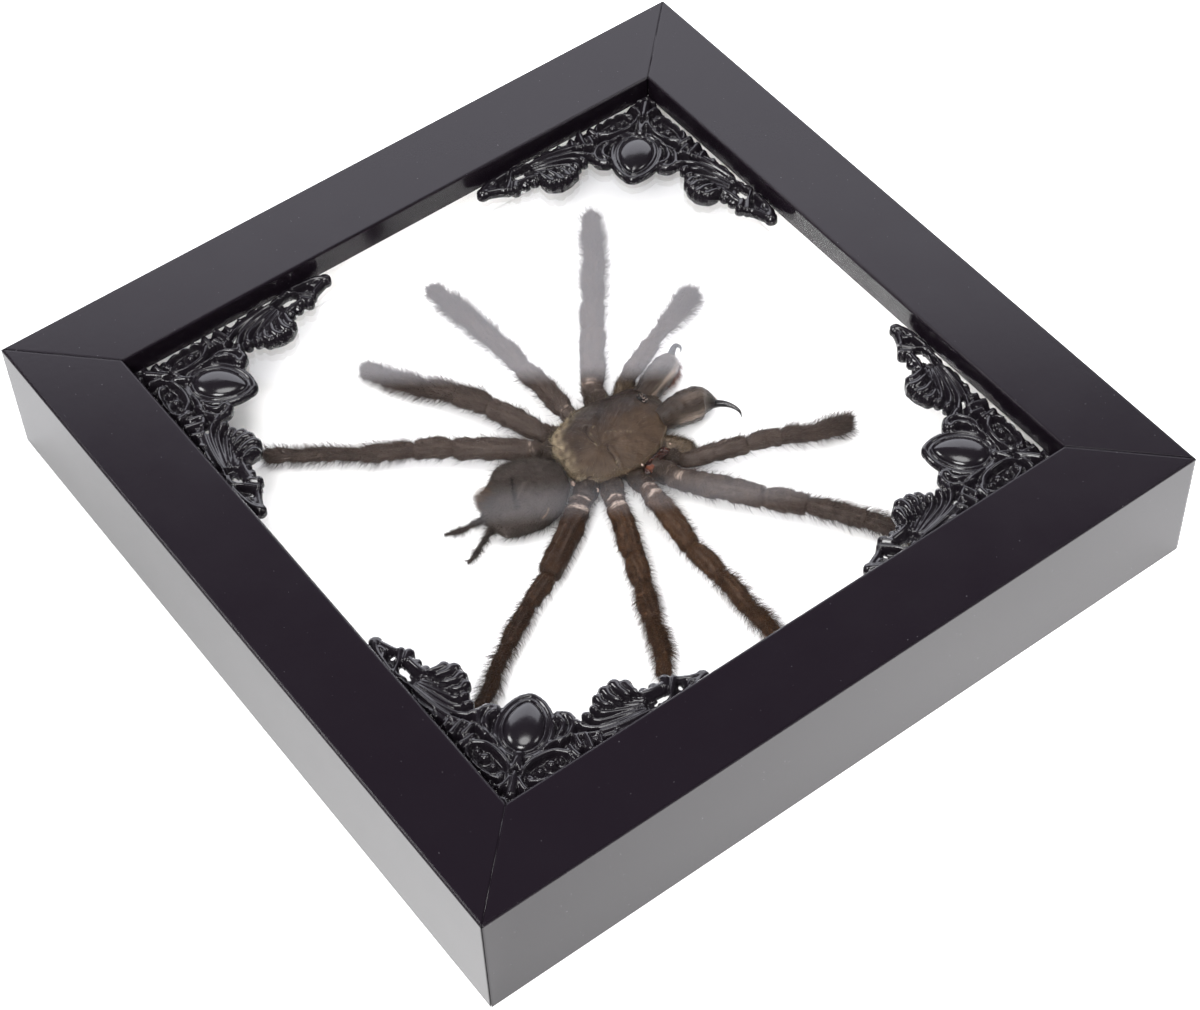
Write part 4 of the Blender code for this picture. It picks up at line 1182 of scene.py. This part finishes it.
def jaw_marks(side, rings):
    """A jaw's marks: pale streaky bands, on the right jaw one of them a painted sheen along its top; painted
    shade down one side, from near its top to beneath it; and darker towards its end.
    """
    angle = np.linspace(0, 360, rings.shape[1], endpoint=False)[None]
    t = np.linspace(0, 1, len(rings))[:, None]
    streaky = 1 + 0.7 * ripple(ring_silk(rings, 0.5, 4.0)[:-2], 1.6, 23).reshape(rings.shape[:2])
    if side == "right":
        pale_bands = 0.55 * bump(angle, 2, 24) * smooth(0.1, 0.3, t) * (1 - smooth(0.7, 0.95, t))
        # A painted sheen along the right jaw's top
        pale_bands = pale_bands + 0.27 * bump(angle, 84, 11) * smooth(0.25, 0.5, t) * (1 - smooth(0.75, 0.9, t))
    else:
        pale_bands = 0.9 * bump(angle, 28, 12) + 0.6 * bump(angle, 148, 5)
    # Painted shade down one side, from near the top to beneath the jaw; darker also towards its end
    dark = smooth(112, 140, angle) * (1 - smooth(200, 260, angle)) + smooth(0.82, 0.97, t)
    return {"pale": with_ends(np.clip(pale_bands * streaky, 0, 1)),
            "dark": with_ends(np.clip(dark, 0, 1), 0, 1), "silk": ring_silk(rings, 0.35, 3.0)}


def build_jaws(skin, down, rng):
    """Chelicerae with their down and a reddish fringe inside, and the fangs."""
    fang = fang_gloss()
    fringe = hair("reddish_jaw_fringe", "#4a1c12", "#8f5a44")
    for side, (route, wide, tall, claw) in JAWS.items():
        name = f"chelicera_{side}"
        rings = sweep(route, wide, tall, 48, 80, 21, 0.07)
        piece(name + "_skin", grounded(rings), skin, (name,), jaw_marks(side, rings))
        ahead = unit(np.array(route[-1]) - np.array(route[0]))
        coat(name + "_hair", rings, down, rng, 1500, 120, steady(*ahead), 0.8, 3.2, 1.3)
        inward, flow = (1, (0.9, 0.3, -0.2)) if side == "left" else (-1, (-0.6, 0.8, -0.3))
        inner = bump(rings[..., 2], 3.4, 1.3)
        inner = inner * ((rings[..., 0] - rings.mean(1)[:, None, 0]) * inward > 0)
        inner = inner * smooth(20, 40, np.arange(len(rings)))[:, None]
        coat(name + "_fringe", rings, fringe, rng, 160, 220, steady(*flow),
             0.8, 1.2, 1.4, inner + FAINT)
        horn = grounded(sweep(claw, FANG_RADIUS, FANG_RADIUS, 18, 60))
        piece(f"fang_{side}_horn", horn, fang, (f"fang_{side}",))


def build_spinnerets(rng):
    """The two long spinnerets, knobbly and hairy."""
    skin = cuticle("spinneret_cuticle", "#211c19", "#2e2723", "#8a7c70", 0.5)
    fur = hair("spinneret_hair", "#241d19", "#4a4038")
    for side, route in SPINNERETS.items():
        name = f"spinneret_{side}"
        rings = sweep(route, (0.85, 0.62, 0.54, 0.66, 0.26), (0.85, 0.6, 0.5, 0.6, 0.26), 16, 70, 31, 0.12)
        marks = {"pale": with_ends(0 * rings[..., 0]), "silk": with_ends(rings / 0.5)}
        piece(name + "_skin", grounded(rings), skin, (name,), marks)
        ahead = unit(np.array(route[-1]) - np.array(route[0]))
        coat(name + "_hair", rings, fur, rng, 1000, 420, steady(*ahead), 0.7, 0.7, 1.5)


def build_eyes(skin):
    """Eight eyes on their tubercle. Returns pale discs under the six larger ones, whose edges show round them
    as painted glints.
    """
    top = carapace_at(*EYES) + 0.1
    hill = blob((*EYES, top), TUBERCLE, 41, 0.04)
    count = len(hill[0])
    marks = {"pale": np.zeros(count), "dark": np.ones(count), "silk": hill[0] / MM}
    piece("eye_tubercle", hill, skin, marks=marks)
    a, b, c = TUBERCLE
    seats = [(EYES[0] + x, EYES[1] + y, top + c * math.sqrt(1 - (x / a) ** 2 - (y / b) ** 2), r)
             for x, y, r in EYE_SEATS]
    lenses = [blob((x, y, z + 0.04), (r, r, r), 42, 0.0, 8) for x, y, z, r in seats]
    piece("eyes", joined(lenses), eye_lens())
    # Pale discs under the six larger eyes: painted glints round them
    return [blob((x, y, z), (1.25 * r, 1.25 * r, 0.16), 43, 0.1, 8) for x, y, z, r in seats[:-2]]


def build_membranes(eye_glints):
    """Dried skin between the right limbs, and pale joint skin in one piece with the painted glints round the
    eyes.
    """
    red = [grounded(sweep(route, wide, tall, 22, 70, 51 + k, rough))
           for k, (route, wide, tall, rough) in enumerate(MEMBRANES)]
    piece("joint_membranes_red", joined(red), red_membrane())
    pale = [blob(*spec, 71 + k, 0.2) for k, spec in enumerate(PALE_SKIN)]
    piece("pale_joint_skin_and_eye_glints", joined(pale + eye_glints), pale_skin_and_eye_glints())


def build_maxillae(down, rng):
    """The palps' coxae either side of the jaws."""
    skin = cuticle("palp_coxa_cuticle", "#30231a", "#524233", "#8a7a66", 0.4, "#1f170f", 0.25, 0.2)
    for side, (route, wide, tall, seed) in MAXILLAE.items():
        rings = sweep(route, wide, tall, 24, 40, seed, 0.1)
        patchy = smooth(0.1, 0.9, ripple(rings, 2.4, 63))
        marks = {"pale": with_ends(0.3 * (1 - patchy)), "dark": with_ends(0.9 * patchy),
                 "silk": with_ends(rings / np.array([0.5, 1.6, 0.5]))}
        piece(f"maxilla_{side}_skin", grounded(rings), skin, (), marks)
        flow = steady(0.6 if side == "right" else -0.6, 0.9, 0.1)
        coat(f"maxilla_{side}_hair", rings, down, rng, 2400, 700, flow, 0.9, 1.2, 1.5)


def build_body(rng):
    """Prosoma, abdomen, jaws, spinnerets, eyes, joint membranes and palp coxae, with their hair."""
    # Jaw cuticle: its deep colour carries the jaws' painted shade and its pale colour the painted sheen on
    # the right jaw; the eye tubercle takes the deep colour all over
    jaw_skin = cuticle("chelicera_cuticle", "#1a130f", "#32271f", "#85766a", 0.32, "#0b0807", 0.3, 0.16)
    down = hair("carapace_down", "#1c1510", "#54432f")
    build_prosoma(down, rng)
    build_abdomen(rng)
    build_jaws(jaw_skin, down, rng)
    build_spinnerets(rng)
    build_membranes(build_eyes(jaw_skin))
    build_maxillae(down, rng)


def dress_frame(lacquer):
    """Materials on the CAD nodes that are shown as they are."""
    paper, steel = mount_paper(), zinc_steel()
    looks = {"frame_rail": lacquer, "glass_pane": picture_glass(), "spacer": paper, "mount_board": paper,
             "back_board": hardboard(), "tab_": steel, "hanger": steel}
    for name, node_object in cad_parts.items():
        for start, look in looks.items():
            if name.startswith(start):
                node_object.data.materials.clear()
                node_object.data.materials.append(look)


def build_mitre_filler(lacquer):
    """Filler under the lacquer in the four mitres: a sheet 0.19 mm thick with the rails' section, its
    edges a little below their faces."""
    half, _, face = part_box("frame_rail_right")[1]
    top = face - 0.05 * MM
    edge, wall = 0.5 * MM, half - GLASS_HALF - 0.5 * MM
    lip, under = wall + LIP, GLASS_TOP + 0.5 * MM
    inward = np.array([edge, wall, wall, edge, lip, lip, wall, edge])
    height = np.array([edge, edge, under, under, under, top, top, top])
    count = len(inward)
    faces = [(0, 1, 2, 3), (3, 2, 6, 7), (2, 4, 5, 6)]
    loop = (0, 1, 2, 4, 5, 6, 7, 3)
    quads = faces + [tuple(count + k for k in face[::-1]) for face in faces]
    quads += [(count + a, count + b, b, a) for a, b in zip(loop, loop[1:] + loop[:1])]
    sheets = []
    for x, y in ((1, 1), (-1, 1), (-1, -1), (1, -1)):
        plane = np.stack([x * (half - inward), y * (half - inward), height], -1)
        aside = np.array([-y, x, 0.0]) * 0.095 * MM / math.sqrt(2)
        turned = quads if x * y > 0 else [face[::-1] for face in quads]
        aside = aside if x * y > 0 else -aside
        both = np.concatenate([plane + aside, plane - aside])
        sheets.append((both, np.array(turned), NO_TRIS))
    piece("mitre_filler", joined(sheets), lacquer)


# The glowing cards: name, heights over which the light rises and falls (m), strength, slope
CARDS = (
    ("wall_card", (0.12, 0.16), (1.70, 1.735), 2.95, -0.037),
    ("strip_card", (1.88, 1.926), (1.932, 1.966), 1.04, 0.045),
)
# How far off the cards stand and half their width (m)
CARD_DISTANCE = 1.5
CARD_HALF = 1.3
# Where the cards stand as seen from the middle (degrees), and the level direction along them
CARD_HEADING = 145.5
CARD_ALONG = (0.566, 0.824)


def glowing(name, colour, strength, low, high, tilt):
    """A softly glowing wall: strength over its height, rising over low and falling over high (m), the
    bands sloping by tilt."""
    material = bpy.data.materials.new(name)
    material.use_nodes = True
    tree = material.node_tree
    tree.nodes.remove(tree.nodes["Principled BSDF"])
    where = add(tree, "ShaderNodeTexCoord", out="Object")
    slope = (CARD_ALONG[0] * tilt, CARD_ALONG[1] * tilt, 1.0)
    height = add(tree, "ShaderNodeVectorMath", {0: where, 1: slope}, "Value", operation="DOT_PRODUCT")
    bands = [add(tree, RANGE, {"Value": height, "From Min": dark, "From Max": lit},
                 interpolation_type="SMOOTHSTEP") for dark, lit in (low, high[::-1])]
    both = add(tree, "ShaderNodeMath", dict(enumerate(bands)), operation="MULTIPLY")
    power = add(tree, "ShaderNodeMath", {0: both, 1: strength}, operation="MULTIPLY")
    glow = add(tree, "ShaderNodeEmission", {"Color": colour, "Strength": power})
    tree.links.new(glow, tree.nodes["Material Output"].inputs["Surface"])
    return material


def card(name, corners, material):
    """A flat four-cornered stage piece."""
    mesh = bpy.data.meshes.new(name)
    mesh.from_pydata(corners, [], [(0, 1, 2, 3)])
    mesh.materials.append(material)
    made = bpy.data.objects.new(name, mesh)
    bpy.context.scene.collection.objects.link(made)


def studio():
    """Camera, a pale floor that glows brighter on one side (painted light), two glowing cards behind for the
    glass to mirror, and four soft lamps.
    """
    scene = bpy.context.scene
    camera = bpy.data.objects.new("camera", bpy.data.cameras.new("camera"))
    camera.location = CAMERA_PLACE
    camera.rotation_euler = [math.radians(a) for a in CAMERA_TURN]
    camera.data.lens = CAMERA_LENS
    camera.data.sensor_width = 36.0
    camera.data.clip_start = 0.01
    scene.collection.objects.link(camera)
    scene.camera = camera
    scene.view_settings.view_transform = "Standard"

    # The floor glows: painted light, its strength rising from 0.4 on the -x -y side of the middle diagonal to
    # 1.9 on the +x +y side
    floor_look, tree, shader, where = finish("pale_floor", "#f4f4f4", 0.9)
    shader.inputs["Emission Color"].default_value = linear("#ffffff")
    place = {0: where, 1: (1.0, 1.0, 0.0)}
    diagonal = add(tree, "ShaderNodeVectorMath", place, "Value", operation="DOT_PRODUCT")
    light = {"Value": diagonal, "From Min": -0.15, "From Max": 0.15, "To Min": 0.4, "To Max": 1.9}
    wire(add(tree, RANGE, light), shader, "Emission Strength")
    z = -0.0002
    card("floor", [(-4, -4, z), (4, -4, z), (4, 4, z), (-4, 4, z)], floor_look)

    heading = math.radians(CARD_HEADING)
    out = np.array([math.cos(heading), math.sin(heading), 0.0])
    across = np.array([-out[1], out[0], 0.0])
    up = np.array([0.0, 0.0, 1.0])
    for name, low, high, strength, tilt in CARDS:
        places = ((-CARD_HALF, low[0]), (CARD_HALF, low[0]), (CARD_HALF, high[1]), (-CARD_HALF, high[1]))
        corners = [out * CARD_DISTANCE + across * w + up * (h + tilt * w) for w, h in places]
        card(name, corners, glowing(name, "#f5f6ff", strength, low, high, tilt))

    world = bpy.data.worlds.new("studio")
    scene.world = world
    world.use_nodes = True
    sky = world.node_tree.nodes["Background"].inputs
    sky["Color"].default_value = linear("#e9ecf2")
    sky["Strength"].default_value = 0.05
    for name, place, size, energy in LAMPS:
        lamp = bpy.data.lights.new(name, "AREA")
        lamp.shape = "DISK"
        lamp.size = size
        lamp.energy = energy
        holder = bpy.data.objects.new(name, lamp)
        holder.location = place
        holder.rotation_euler = Vector(place).to_track_quat("Z", "Y").to_euler()
        scene.collection.objects.link(holder)


studio()
black_lacquer = lacquered_wood()
dress_frame(black_lacquer)
build_mitre_filler(black_lacquer)
build_ornaments(black_resin())
maker = np.random.default_rng(7)
build_limbs(maker)
build_body(maker)
